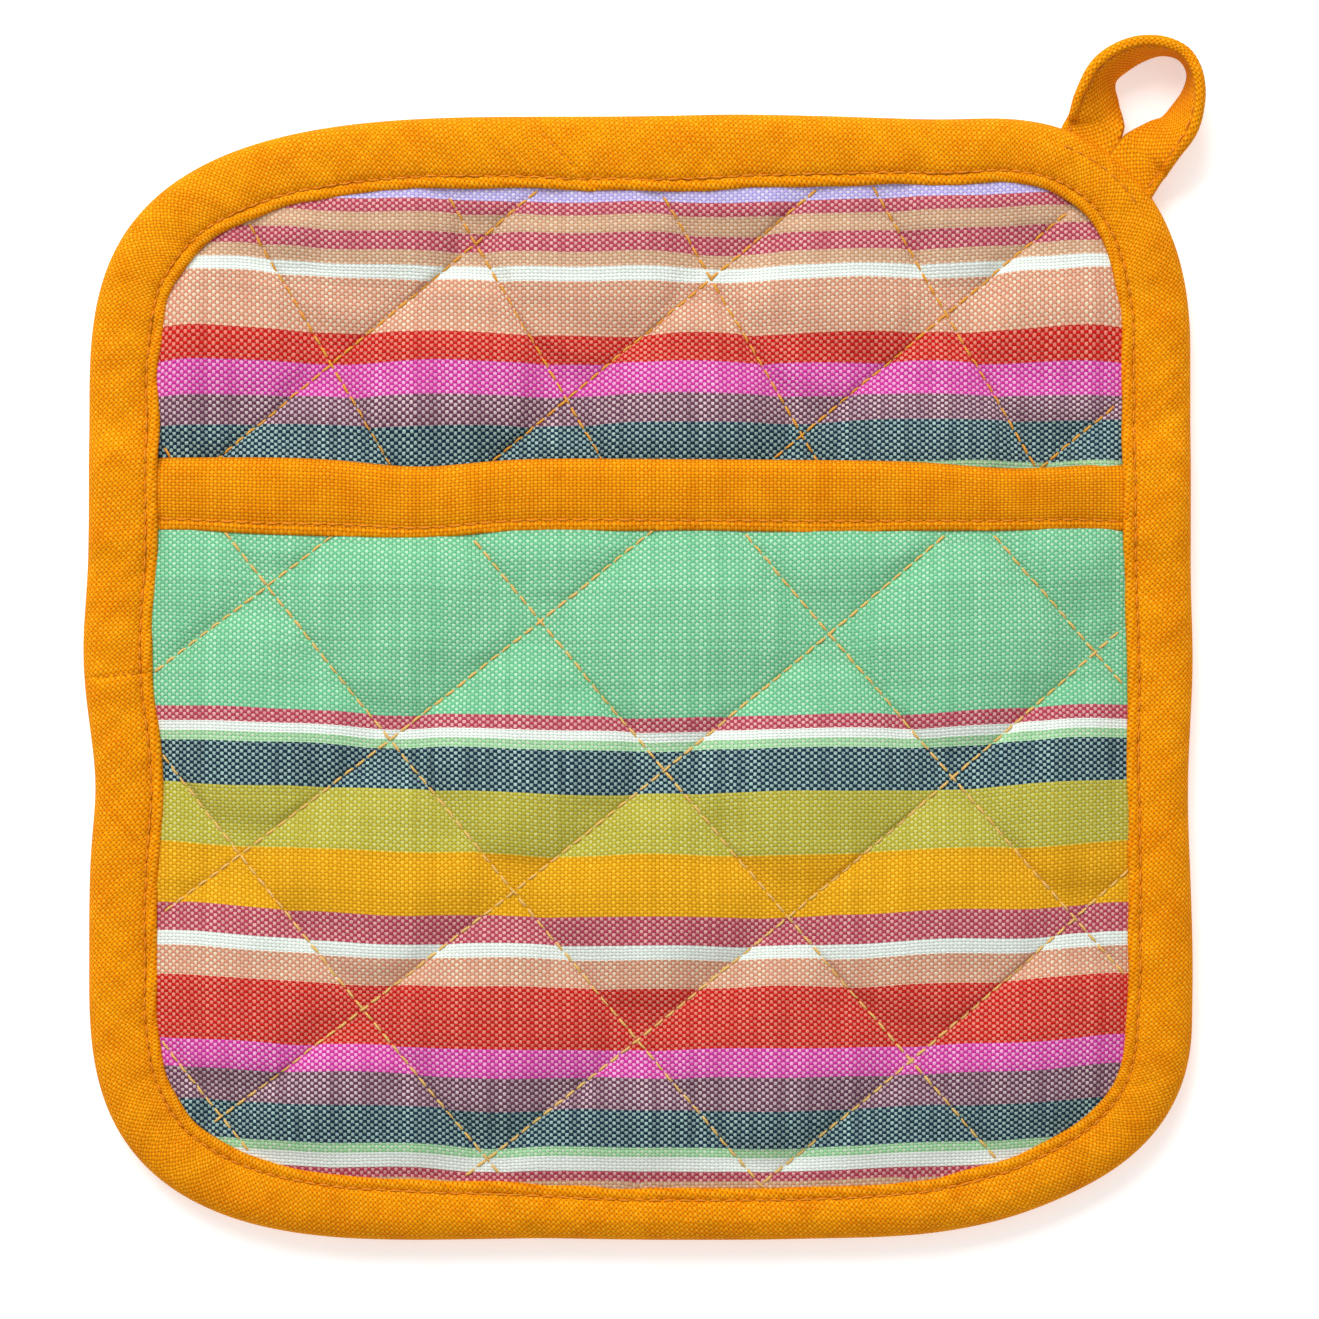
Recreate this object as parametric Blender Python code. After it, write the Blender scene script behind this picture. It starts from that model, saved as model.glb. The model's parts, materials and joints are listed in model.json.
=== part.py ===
"""Square quilted oven mitt (pocket pot holder) lying on its back, front face up.

The pad is backing, wadding and face cloth, bound round the edge. A second quilted panel covers
its lower two thirds and makes the hand pocket, open at the top. A tape loop hangs from a corner.
Run with: blender --background --python part.py
"""
import math

import bmesh
import bpy
from mathutils import Vector

MM = 0.001
NAME = "oven_mitt"

# Pad outline, in millimetres from the pad's own centre (+X right, +Y up the pad, +Z off the table)
HALF_WIDTH = 104.5
HALF_HEIGHT = 106.3
RADIUS_BOTTOM_LEFT = 42.0
RADIUS_BOTTOM_RIGHT = 46.0
RADIUS_TOP_RIGHT = 41.0
RADIUS_TOP_LEFT = 49.0
CORNER_STEPS = 9

# Cloth, thread and the clearance between neighbouring layers
CLOTH = 0.5
FOLDED_CLOTH = 0.8
GAP = 0.3
THREAD = 0.4

# Edge binding: lip width, and where its two strips are joined
LIP = 12.0
LEFT_JOIN_Y = 0.0
TOP_JOIN_X = -15.0
STITCH_INSET = LIP - 1.7

# Heights of the layers, from the table up
BACK_THREAD_Z = THREAD / 2
LOWER_LIP_Z = THREAD + GAP
MARGIN_BACKING_Z = LOWER_LIP_Z + FOLDED_CLOTH + GAP
WADDING_TOP_Z = 4.9
FACE_Z = WADDING_TOP_Z + GAP
FACE_TOP_Z = FACE_Z + CLOTH
SEAM_Z = FACE_TOP_Z + GAP
UPPER_LIP_Z = SEAM_Z + FOLDED_CLOTH + GAP
EDGE_TOP_Z = UPPER_LIP_Z + FOLDED_CLOTH

# The backing sinks from under the lower lip to the table over this band of the pad
SINK_START = 14.0
SINK_WIDTH = 16.0

# Pocket panel
SEAM_CLEARANCE = 0.5
MOUTH_Y = 42.5
BAND = 13.0
POCKET_EDGE_LIFT = 2.4
POCKET_RISE = 5.0
POCKET_RISE_WIDTH = 75.0
POCKET_WADDING_EDGE = 0.8
POCKET_WADDING_FULL = 3.6
POCKET_TAPER = 30.0

# Quilting lattices: a crossing point and the two steps from crossing to crossing
PAD_LATTICE = (Vector((-13.7, 53.6)), Vector((27.5, 23.0)), Vector((17.3, -29.9)))
POCKET_LATTICE = (Vector((-21.9, -40.7)), Vector((28.8, 23.6)), Vector((23.3, -28.1)))
LATTICE_REACH = 9
SHORTEST_ROW = 60.0

# Hanging loop: its root on the top right corner, and the tape's route from root to root.
# Each route point is (along the root line, outwards, height, twist of the tape in degrees).
LOOP_ANGLE = math.radians(52.4)
LOOP_STAND_OFF = 1.4
LOOP_WIDTH = 10.5
LOOP_THICKNESS = 2.0
LOOP_END_INSET = 3.1
LOOP_END_LENGTH = 8.2
LOOP_ROUTE = (
    (-6.1, 0.0, 4.3, 0.0),
    (-8.6, 5.2, 4.6, 22.0),
    (-10.4, 11.0, 5.0, 46.0),
    (-9.2, 17.6, 5.3, 62.0),
    (-4.6, 22.6, 5.4, 76.0),
    (1.6, 22.8, 5.4, 76.0),
    (5.8, 17.0, 5.3, 56.0),
    (7.0, 9.0, 4.8, 32.0),
    (6.1, 0.0, 4.3, 0.0),
)
LOOP_STEPS = 4

# The origin is the middle of the whole outline, loop included, at table height
LOOP_RIGHT = 108.0
LOOP_TOP = 122.4
PAD_CENTRE = Vector((-(LOOP_RIGHT - HALF_WIDTH) / 2, -(LOOP_TOP - HALF_HEIGHT) / 2, 0.0))

GRID_COLUMNS = 20
GRID_ROWS = 18


def clear_scene():
    """Remove whatever the file opened with."""
    for obj in list(bpy.data.objects):
        bpy.data.objects.remove(obj, do_unlink=True)


def collection(name):
    """A collection linked to the scene."""
    made = bpy.data.collections.new(name)
    bpy.context.scene.collection.children.link(made)
    return made


def material(name, colour, roughness=0.9):
    """A plain cloth or thread material."""
    made = bpy.data.materials.new(name)
    made.use_nodes = True
    shader = made.node_tree.nodes["Principled BSDF"]
    shader.inputs["Base Color"].default_value = (*colour, 1.0)
    shader.inputs["Roughness"].default_value = roughness
    shader.inputs["Metallic"].default_value = 0.0
    made.diffuse_color = (*colour, 1.0)
    return made


def smooth(value):
    """Ease from 0 to 1."""
    value = min(max(value, 0.0), 1.0)
    return value * value * (3.0 - 2.0 * value)


def corner_radius(x, y):
    """The radius of the corner in the quarter of the pad that holds (x, y)."""
    if y < 0.0:
        return RADIUS_BOTTOM_LEFT if x < 0.0 else RADIUS_BOTTOM_RIGHT
    return RADIUS_TOP_LEFT if x < 0.0 else RADIUS_TOP_RIGHT


def depth_inside(x, y):
    """How far (x, y) lies inside the pad's outline."""
    radius = corner_radius(x, y)
    over_x = abs(x) - HALF_WIDTH + radius
    over_y = abs(y) - HALF_HEIGHT + radius
    outside = math.hypot(max(over_x, 0.0), max(over_y, 0.0))
    return radius - outside - min(max(over_x, over_y), 0.0)


def edge_y(x, inset, side):
    """The height of the inset outline above x, on the top side (1) or the bottom side (-1)."""
    radius = corner_radius(x, side)
    over_x = max(abs(x) - HALF_WIDTH + radius, 0.0)
    reach = max((radius - inset) ** 2 - over_x ** 2, 0.0)
    return side * (HALF_HEIGHT - radius + math.sqrt(reach))


def corner_stations(centre, radius, start, steps=CORNER_STEPS):
    """Outline points with their inward normals round one corner, a quarter turn anticlockwise."""
    stations = []
    for step in range(steps + 1):
        angle = start + math.pi / 2 * step / steps
        outward = Vector((math.cos(angle), math.sin(angle)))
        stations.append((centre + outward * radius, -outward))
    return stations


def corner_centre(side_x, side_y):
    """The centre of one corner's arc."""
    radius = corner_radius(side_x, side_y)
    return Vector((side_x * (HALF_WIDTH - radius), side_y * (HALF_HEIGHT - radius)))


def bottom_run():
    """Stations round the two bottom corners."""
    run = corner_stations(corner_centre(-1, -1), RADIUS_BOTTOM_LEFT, math.pi)
    run += corner_stations(corner_centre(1, -1), RADIUS_BOTTOM_RIGHT, math.pi * 1.5)
    return run


def left_station(y):
    """A station on the straight left side."""
    return Vector((-HALF_WIDTH, y)), Vector((1.0, 0.0))


def right_station(y):
    """A station on the straight right side."""
    return Vector((HALF_WIDTH, y)), Vector((-1.0, 0.0))


def top_station(x):
    """A station on the straight top side."""
    return Vector((x, HALF_HEIGHT)), Vector((0.0, -1.0))


def long_strip_stations():
    """From the left join, round the bottom and the right side, to the top join."""
    run = [left_station(LEFT_JOIN_Y - GAP / 2)] + bottom_run()
    run += corner_stations(corner_centre(1, 1), RADIUS_TOP_RIGHT, 0.0)
    return run + [top_station(TOP_JOIN_X + GAP / 2)]


def short_strip_stations():
    """From the top join, round the top left corner, to the left join."""
    run = [top_station(TOP_JOIN_X - GAP / 2)]
    run += corner_stations(corner_centre(-1, 1), RADIUS_TOP_LEFT, math.pi / 2)
    return run + [left_station(LEFT_JOIN_Y + GAP / 2)]


def finish(mesh, name, paint, origin, target):
    """Make an object from a bmesh built in pad millimetres, with its origin at a given point."""
    bmesh.ops.recalc_face_normals(mesh, faces=mesh.faces)
    data = bpy.data.meshes.new(name)
    for vertex in mesh.verts:
        vertex.co = (vertex.co - origin) * MM
    for face in mesh.faces:
        face.smooth = True
    mesh.to_mesh(data)
    mesh.free()
    data.materials.append(paint)
    obj = bpy.data.objects.new(name, data)
    obj.location = (origin + PAD_CENTRE) * MM
    target.objects.link(obj)
    return obj


def loft(rings, closed=False):
    """A tube through rings of points, capped at its ends or joined into a ring."""
    mesh = bmesh.new()
    add_loft(mesh, rings, closed)
    return mesh


def add_loft(mesh, rings, closed=False):
    """Add one lofted tube to a mesh."""
    rows = [[mesh.verts.new(point) for point in ring] for ring in rings]
    count = len(rows[0])
    pairs = list(zip(rows, rows[1:] + rows[:1])) if closed else list(zip(rows, rows[1:]))
    for near, far in pairs:
        for side in range(count):
            after = (side + 1) % count
            mesh.faces.new((near[side], near[after], far[after], far[side]))
    if not closed:
        mesh.faces.new(rows[0])
        mesh.faces.new(list(reversed(rows[-1])))


def sweep(stations, section, closed=False):
    """Sweep a section of (inset, height) points along outline stations."""
    rings = []
    for point, inward in stations:
        flat = [(point + inward * inset, height) for inset, height in section]
        rings.append([Vector((at.x, at.y, height)) for at, height in flat])
    return loft(rings, closed)


def round_section(inset, height, diameter=THREAD, sides=6):
    """A thread's round section for a sweep."""
    turns = [math.tau * side / sides for side in range(sides)]
    radius = diameter / 2
    return [(inset + radius * math.cos(turn), height + radius * math.sin(turn)) for turn in turns]


def layer(columns, rows, place, lower, upper):
    """A cloth or wadding solid: a grid laid out by place(u, v), filled between two heights."""
    mesh = bmesh.new()
    bmesh.ops.create_grid(mesh, x_segments=columns, y_segments=rows, size=1.0)
    for vertex in mesh.verts:
        x, y = place(vertex.co.x, vertex.co.y)
        vertex.co = Vector((x, y, lower(x, y)))
    grown = bmesh.ops.extrude_face_region(mesh, geom=mesh.faces[:], use_keep_orig=True)
    for item in grown["geom"]:
        if isinstance(item, bmesh.types.BMVert):
            item.co.z = upper(item.co.x, item.co.y)
    return mesh


def ease_to_edges(value):
    """Spread grid lines so that they crowd towards both edges."""
    return math.sin(value * math.pi / 2)


def place_on_pad(u, v):
    """Grid position to pad position, over the whole pad inside the binding's fold."""
    inset = FOLDED_CLOTH + GAP
    x = (HALF_WIDTH - inset) * ease_to_edges(u)
    low = edge_y(x, inset, -1)
    high = edge_y(x, inset, 1)
    return x, low + (high - low) * (ease_to_edges(v) + 1.0) / 2


def place_on_pocket(u, v):
    """Grid position to pad position over the pocket panel; the last row lies under its band."""
    inset = LIP + SEAM_CLEARANCE
    x = (HALF_WIDTH - inset) * ease_to_edges(u)
    low = edge_y(x, inset, -1)
    high = MOUTH_Y - BAND - SEAM_CLEARANCE
    last_row = 1.0 - 2.0 / GRID_ROWS
    if v > last_row + 0.01:
        return x, MOUTH_Y - FOLDED_CLOTH - GAP
    share = (v + 1.0) / (last_row + 1.0)
    return x, low + (high - low) * (1.0 - math.cos(share * math.pi / 2))


def backing_height(x, y):
    """Underside of the backing cloth: on the table, and lifted over the lower lip at the edge."""
    return MARGIN_BACKING_Z * (1.0 - smooth((depth_inside(x, y) - SINK_START) / SINK_WIDTH))


def pocket_depth(x, y):
    """Distance inside the sewn sides and bottom of the pocket."""
    return depth_inside(x, min(y, 0.0)) - LIP - SEAM_CLEARANCE


def lining_height(x, y):
    """Underside of the pocket lining, which stands off the pad to leave room for a hand."""
    rise = POCKET_RISE * smooth(pocket_depth(x, y) / POCKET_RISE_WIDTH)
    return FACE_TOP_Z + POCKET_EDGE_LIFT + rise


def pocket_wadding_top(x, y):
    """Top of the pocket wadding, thin at the seams and under the mouth band."""
    from_mouth = MOUTH_Y - BAND - SEAM_CLEARANCE - y
    fullness = smooth(pocket_depth(x, y) / POCKET_TAPER) * smooth(from_mouth / POCKET_TAPER)
    thickness = POCKET_WADDING_EDGE + (POCKET_WADDING_FULL - POCKET_WADDING_EDGE) * fullness
    return lining_height(x, y) + CLOTH + GAP + thickness


def pocket_face_top(x, y):
    """Top of the pocket's face cloth."""
    return pocket_wadding_top(x, y) + GAP + CLOTH


def add_pad_layers(paints, origin, target):
    """Backing cloth, wadding and face cloth of the pad."""
    layers = (
        ("pad_backing_cloth", backing_height, lambda x, y: backing_height(x, y) + CLOTH),
        ("pad_wadding", lambda x, y: backing_height(x, y) + CLOTH + GAP, lambda x, y: WADDING_TOP_Z),
        ("pad_face_cloth", lambda x, y: FACE_Z, lambda x, y: FACE_TOP_Z),
    )
    for name, lower, upper in layers:
        mesh = layer(GRID_COLUMNS, GRID_ROWS, place_on_pad, lower, upper)
        finish(mesh, name, paints[name], origin, target)


def add_pocket_layers(paints, origin, target):
    """Lining, wadding and face cloth of the pocket panel."""
    layers = (
        ("pocket_lining", lining_height, lambda x, y: lining_height(x, y) + CLOTH),
        ("pocket_wadding", lambda x, y: lining_height(x, y) + CLOTH + GAP, pocket_wadding_top),
        ("pocket_face_cloth", lambda x, y: pocket_wadding_top(x, y) + GAP, pocket_face_top),
    )
    for name, lower, upper in layers:
        mesh = layer(GRID_COLUMNS, GRID_ROWS, place_on_pocket, lower, upper)
        finish(mesh, name, paints[name], origin, target)


def binding_section():
    """Section of the folded binding: two lips and the fold round the pad's edge."""
    inner_fold = FOLDED_CLOTH
    return [
        (LIP, EDGE_TOP_Z),
        (FOLDED_CLOTH, EDGE_TOP_Z),
        (0.0, UPPER_LIP_Z),
        (0.0, LOWER_LIP_Z + FOLDED_CLOTH),
        (FOLDED_CLOTH, LOWER_LIP_Z),
        (LIP, LOWER_LIP_Z),
        (LIP, LOWER_LIP_Z + FOLDED_CLOTH),
        (inner_fold, LOWER_LIP_Z + FOLDED_CLOTH),
        (inner_fold, UPPER_LIP_Z),
        (LIP, UPPER_LIP_Z),
    ]


def add_edge_binding(paints, origin, target):
    """The two binding strips and the thread that sews them down, front and back."""
    section = binding_section()
    strips = (
        ("edge_binding_long_strip", long_strip_stations()),
        ("edge_binding_short_strip", short_strip_stations()),
    )
    for name, stations in strips:
        finish(sweep(stations, section), name, paints[name], origin, target)
    whole_edge = long_strip_stations()[1:-1] + short_strip_stations()[1:-1]
    threads = (
        ("edge_stitching_front", EDGE_TOP_Z + GAP + THREAD / 2),
        ("edge_stitching_back", BACK_THREAD_Z),
    )
    for name, height in threads:
        mesh = sweep(whole_edge, round_section(STITCH_INSET, height), closed=True)
        finish(mesh, name, paints[name], origin, target)


def add_pocket_seam(paints, origin, target):
    """The pocket panel's raw edge, held inside the binding round the sides and the bottom."""
    stations = [left_station(MOUTH_Y)] + bottom_run() + [right_station(MOUTH_Y)]
    start = FOLDED_CLOTH + GAP
    end = LIP - SEAM_CLEARANCE
    top = SEAM_Z + FOLDED_CLOTH
    section = [(start, SEAM_Z), (end, SEAM_Z), (end, top), (start, top)]
    name = "pocket_seam_allowance"
    finish(sweep(stations, section), name, paints[name], origin, target)


def band_columns():
    """The x positions of the pocket grid's columns."""
    reach = HALF_WIDTH - LIP - SEAM_CLEARANCE
    return [reach * ease_to_edges(2.0 * step / GRID_COLUMNS - 1.0) for step in range(GRID_COLUMNS + 1)]


def add_mouth_band(paints, origin, target):
    """The straight strip folded over the pocket's mouth, and the thread sewn along it."""
    rings = []
    thread_rings = []
    for x in band_columns():
        low = lining_height(x, MOUTH_Y) - GAP
        high = pocket_face_top(x, MOUTH_Y) + GAP
        section = [
            (MOUTH_Y - BAND, high + FOLDED_CLOTH),
            (MOUTH_Y - FOLDED_CLOTH, high + FOLDED_CLOTH),
            (MOUTH_Y, high),
            (MOUTH_Y, low),
            (MOUTH_Y - FOLDED_CLOTH, low - FOLDED_CLOTH),
            (MOUTH_Y - BAND, low - FOLDED_CLOTH),
            (MOUTH_Y - BAND, low),
            (MOUTH_Y - FOLDED_CLOTH, low),
            (MOUTH_Y - FOLDED_CLOTH, high),
            (MOUTH_Y - BAND, high),
        ]
        rings.append([Vector((x, y, z)) for y, z in section])
        thread_z = high + FOLDED_CLOTH + GAP + THREAD / 2
        thread = round_section(MOUTH_Y - STITCH_INSET, thread_z)
        thread_rings.append([Vector((x, y, z)) for y, z in thread])
    finish(loft(rings), "pocket_mouth_band", paints["pocket_mouth_band"], origin, target)
    name = "pocket_mouth_stitching"
    finish(loft(thread_rings), name, paints[name], origin, target)


def stretch_inside(point, step, inside):
    """The part of a line that lies inside a region, as distances along its direction."""
    direction = step.normalized()
    reach = [float(mark) for mark in range(-300, 301)]
    held = [mark for mark in reach if inside(*(point + direction * mark))]
    return (held[0], held[-1], direction) if held else None


def thread_rings(point, direction, start, end, height, size):
    """Rings of a thread that runs straight across the pad and follows a height function."""
    across = Vector((-direction.y, direction.x))
    segments = max(2, round((end - start) / 9.0))
    rings = []
    for index in range(segments + 1):
        at = point + direction * (start + (end - start) * index / segments)
        half = size / 2
        base = height(at.x, at.y)
        corners = ((-half, 0.0), (half, 0.0), (half, size), (-half, size))
        ring = []
        for aside, lift in corners:
            spot = at + across * aside
            ring.append(Vector((spot.x, spot.y, base + lift)))
        rings.append(ring)
    return rings


def lattice_rows(lattice, family, inside, height, size):
    """All the parallel threads of one direction, as one mesh."""
    start_point, first, second = lattice
    along, step = (first, second) if family == 0 else (second, first)
    mesh = bmesh.new()
    for count in range(-LATTICE_REACH, LATTICE_REACH + 1):
        point = start_point + step * count
        stretch = stretch_inside(point, along, inside)
        if stretch is None or stretch[1] - stretch[0] < SHORTEST_ROW:
            continue
        start, end, direction = stretch
        add_loft(mesh, thread_rings(point, direction, start, end, height, size))
    return mesh


def add_quilting(name, lattice, inside, height, paint, origin, target, tools):
    """Quilting thread: two sets of parallel rows, joined where they cross."""
    rows = lattice_rows(lattice, 0, inside, height, THREAD)
    obj = finish(rows, name, paint, origin, target)
    crossing = lattice_rows(lattice, 1, inside, height, THREAD * 0.9)
    tool = finish(crossing, name + "_crossing_rows", paint, origin, tools)
    tool.hide_render = True
    tool.display_type = "WIRE"
    union = obj.modifiers.new("crossing rows", "BOOLEAN")
    union.operation = "UNION"
    union.solver = "EXACT"
    union.object = tool
    return obj


def inside_pad(x, y):
    """Where the pad's quilting runs."""
    return depth_inside(x, y) > LIP + 1.0


def inside_pocket(x, y):
    """Where the pocket's quilting runs."""
    return pocket_depth(x, y) > 1.5 and y < MOUTH_Y - BAND - 1.0


def route_points(route, steps):
    """Catmull-Rom points through a route."""
    knots = [Vector(point) for point in route]
    knots = [2.0 * knots[0] - knots[1]] + knots + [2.0 * knots[-1] - knots[-2]]
    points = []
    for before, start, end, after in zip(knots, knots[1:], knots[2:], knots[3:]):
        for step in range(steps):
            t = step / steps
            points.append(0.5 * (2.0 * start + (end - before) * t
                                 + (2.0 * before - 5.0 * start + 4.0 * end - after) * t ** 2
                                 + (3.0 * start - before - 3.0 * end + after) * t ** 3))
    return points + [knots[-2]]


def loop_frame():
    """The loop's root: its middle on the outline, the root line and the outward direction."""
    outward = Vector((math.cos(LOOP_ANGLE), math.sin(LOOP_ANGLE), 0.0))
    along = Vector((outward.y, -outward.x, 0.0))
    centre = corner_centre(1, 1).to_3d() + outward * RADIUS_TOP_RIGHT
    return centre, along, outward


def loop_rings(section):
    """Rings of a section of (across, through) points carried along the loop's route."""
    centre, along, outward = loop_frame()
    points = route_points(LOOP_ROUTE, LOOP_STEPS)
    places = []
    for point in points:
        flat = centre + along * point[0] + outward * (point[1] + LOOP_STAND_OFF)
        places.append((Vector((flat.x, flat.y, point[2])), math.radians(point[3])))
    rings = []
    for index, (place, twist) in enumerate(places):
        before = places[max(index - 1, 0)][0]
        after = places[min(index + 1, len(places) - 1)][0]
        tangent = (after - before).normalized()
        level = Vector((-tangent.y, tangent.x, 0.0)).normalized()
        across = level * math.cos(twist) + Vector((0.0, 0.0, math.sin(twist)))
        through = tangent.cross(across).normalized()
        rings.append([place + across * a + through * b for a, b in section])
    return rings


def add_loop(paints, root, target):
    """The tape loop and the row of stitches along its edge."""
    half = LOOP_WIDTH / 2
    thick = LOOP_THICKNESS / 2
    soft = thick * 0.5
    section = [
        (-half, -soft), (-half + soft, -thick), (half - soft, -thick), (half, -soft),
        (half, soft), (half - soft, thick), (-half + soft, thick), (-half, soft),
    ]
    finish(loft(loop_rings(section)), "hanging_loop", paints["hanging_loop"], root, target)
    stitch = round_section(half - 1.6, -thick - GAP - THREAD / 2)
    name = "hanging_loop_stitching"
    finish(loft(loop_rings(stitch)), name, paints[name], root, target)


def add_loop_ends(paints, origin, target):
    """The two ends of the loop's tape, sewn in between the face cloth and the binding."""
    centre, along, outward = loop_frame()
    for name, side in (("loop_end_left", -1.0), ("loop_end_right", 1.0)):
        start = centre + along * side * LOOP_ROUTE[-1][0] - outward * LOOP_END_INSET
        across = along * LOOP_WIDTH / 2
        rings = []
        for reach in (0.0, LOOP_END_LENGTH):
            at = start - outward * reach
            corners = [at - across, at + across]
            low = [Vector((spot.x, spot.y, SEAM_Z)) for spot in corners]
            high = [Vector((spot.x, spot.y, SEAM_Z + FOLDED_CLOTH)) for spot in reversed(corners)]
            rings.append(low + high)
        finish(loft(rings), name, paints[name], origin, target)


def make_paints():
    """One material for each sub-part."""
    orange = (0.78, 0.33, 0.02)
    gold = (0.72, 0.42, 0.06)
    colours = {
        "pad_backing_cloth": (0.30, 0.55, 0.38),
        "pad_wadding": (0.85, 0.83, 0.78),
        "pad_face_cloth": (0.62, 0.33, 0.26),
        "edge_binding_long_strip": orange,
        "edge_binding_short_strip": orange,
        "edge_stitching_front": gold,
        "edge_stitching_back": gold,
        "pocket_seam_allowance": (0.30, 0.55, 0.38),
        "pad_quilting_thread": gold,
        "loop_end_left": orange,
        "loop_end_right": orange,
        "pocket_lining": (0.30, 0.55, 0.38),
        "pocket_wadding": (0.85, 0.83, 0.78),
        "pocket_face_cloth": (0.28, 0.58, 0.38),
        "pocket_mouth_band": orange,
        "pocket_mouth_stitching": gold,
        "pocket_quilting_thread": gold,
        "hanging_loop": (0.76, 0.28, 0.02),
        "hanging_loop_stitching": gold,
    }
    return {name: material(name + "_material", colour) for name, colour in colours.items()}


def main():
    clear_scene()
    target = collection(NAME)
    tools = collection(NAME + "_tools")
    paints = make_paints()
    pad = Vector((0.0, 0.0, 0.0))
    seam_y = -HALF_HEIGHT + LIP + SEAM_CLEARANCE
    pocket_hinge = Vector((0.0, seam_y, pocket_face_top(0.0, seam_y)))
    centre, _, outward = loop_frame()
    loop_root = centre + outward * LOOP_STAND_OFF + Vector((0.0, 0.0, LOOP_ROUTE[0][2]))

    add_pad_layers(paints, pad, target)
    add_edge_binding(paints, pad, target)
    add_pocket_seam(paints, pad, target)
    add_loop_ends(paints, pad, target)
    add_quilting("pad_quilting_thread", PAD_LATTICE, inside_pad,
                 lambda x, y: FACE_TOP_Z + GAP,
                 paints["pad_quilting_thread"], pad, target, tools)
    add_pocket_layers(paints, pocket_hinge, target)
    add_mouth_band(paints, pocket_hinge, target)
    add_quilting("pocket_quilting_thread", POCKET_LATTICE, inside_pocket,
                 lambda x, y: pocket_face_top(x, y) + 2.0 * GAP,
                 paints["pocket_quilting_thread"], pocket_hinge, target, tools)
    add_loop(paints, loop_root, target)


main()
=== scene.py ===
"""Looks of the quilted oven mitt: woven striped cloth, bound edge, stitching and tape loop."""
import json
import math

import bmesh
import bpy
import numpy as np
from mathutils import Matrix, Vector
from mathutils.bvhtree import BVHTree


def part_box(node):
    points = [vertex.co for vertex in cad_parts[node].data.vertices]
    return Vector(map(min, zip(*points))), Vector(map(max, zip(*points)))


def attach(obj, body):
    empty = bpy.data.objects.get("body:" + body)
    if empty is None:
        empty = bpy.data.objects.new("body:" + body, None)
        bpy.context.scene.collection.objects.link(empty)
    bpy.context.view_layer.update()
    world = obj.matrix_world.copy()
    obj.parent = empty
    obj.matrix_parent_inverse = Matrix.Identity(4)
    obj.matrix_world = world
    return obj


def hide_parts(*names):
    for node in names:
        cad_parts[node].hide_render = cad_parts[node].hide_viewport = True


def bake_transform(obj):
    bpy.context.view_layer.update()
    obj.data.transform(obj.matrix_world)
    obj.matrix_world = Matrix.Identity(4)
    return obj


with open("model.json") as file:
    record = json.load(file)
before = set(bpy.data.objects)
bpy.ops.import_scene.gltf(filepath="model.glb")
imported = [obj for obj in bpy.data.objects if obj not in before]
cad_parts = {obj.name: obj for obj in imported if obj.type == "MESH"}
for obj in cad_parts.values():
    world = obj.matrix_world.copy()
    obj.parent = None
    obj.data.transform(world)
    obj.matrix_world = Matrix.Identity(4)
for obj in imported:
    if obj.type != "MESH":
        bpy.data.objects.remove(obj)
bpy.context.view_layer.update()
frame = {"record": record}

MM = 0.001

# ---------------------------------------------------------------- sizes, in mm from the pad's centre
_low, _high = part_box("pad_face_cloth")
PAD_CENTRE = np.array([(_low.x + _high.x) / 2, (_low.y + _high.y) / 2, 0.0]) / MM
_low, _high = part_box("pocket_mouth_band")
MOUTH_Y = _high.y / MM - PAD_CENTRE[1] - 1.0
JOINTS = {joint["name"]: joint for joint in frame["record"]["behaviour"]["joints"]}
LOOP_ROOT = np.array(JOINTS["loop_swing"]["pos_m"]) / MM - PAD_CENTRE

SIDES = {"left": -104.5, "right": 104.4, "bottom": -106.4, "top": 106.7}
# Corner: signs, reach along x, reach along y, squareness of the curve
CORNERS = (
    (-1, -1, 65.6, 50.4, 2.86),
    (1, -1, 71.8, 41.2, 2.33),
    (1, 1, 40.0, 45.0, 2.35),
    (-1, 1, 89.9, 57.0, 3.14),
)
OUTLINE_POINTS = 1600
# Small bulges of the bound edge: direction from the centre in degrees, height, width in degrees
EDGE_BULGES = ((177, 1.1, 7), (-169, -1.2, 6), (2, 0.4, 6), (-12, -0.5, 7), (-28, 0.4, 7),
               (62, -0.5, 6), (80, 0.4, 8), (-70, -0.3, 6), (-50, -0.3, 5), (-100, -0.3, 7))
# Width of the binding's front lip round the edge: direction in degrees, width
LIP_WIDTHS = ((-180, 12.2), (-160, 12.2), (-135, 12.0), (-112, 10.8), (-95, 9.1), (-72, 9.0), (-45, 10.6),
              (-34, 12.0), (-15, 10.6), (0, 11.6), (22, 12.2), (36, 12.2), (48, 10.9), (68, 12.0), (84, 13.6),
              (96, 13.4), (108, 12.5), (135, 12.3), (160, 12.4), (180, 12.2))
LEFT_JOIN_ANGLE = 180.0
TOP_JOIN_ANGLE = 98.2
TOP_JOIN_LEAN = -1.0

# Quilting: a crossing and the steps to the next crossings, then how far each row strays, in steps
PAD_LATTICE = (np.array([-14.0, 53.2]), np.array([27.5, 23.0]), np.array([17.35, -29.74]))
PAD_STRAY = (0.0, 0.0)
POCKET_LATTICE = (np.array([-23.1, -39.7]), np.array([28.7, 23.3]), np.array([23.35, -28.0]))
POCKET_STRAY = (0.035, -0.02, -0.025, -0.035, 0.05, 0.0)
POCKET_FIRST_ROW = -2
POCKET_LATTICE_SAG = 0.00038
CELL_STEPS = 16
SEAM_CROWDING = 0.72

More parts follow.
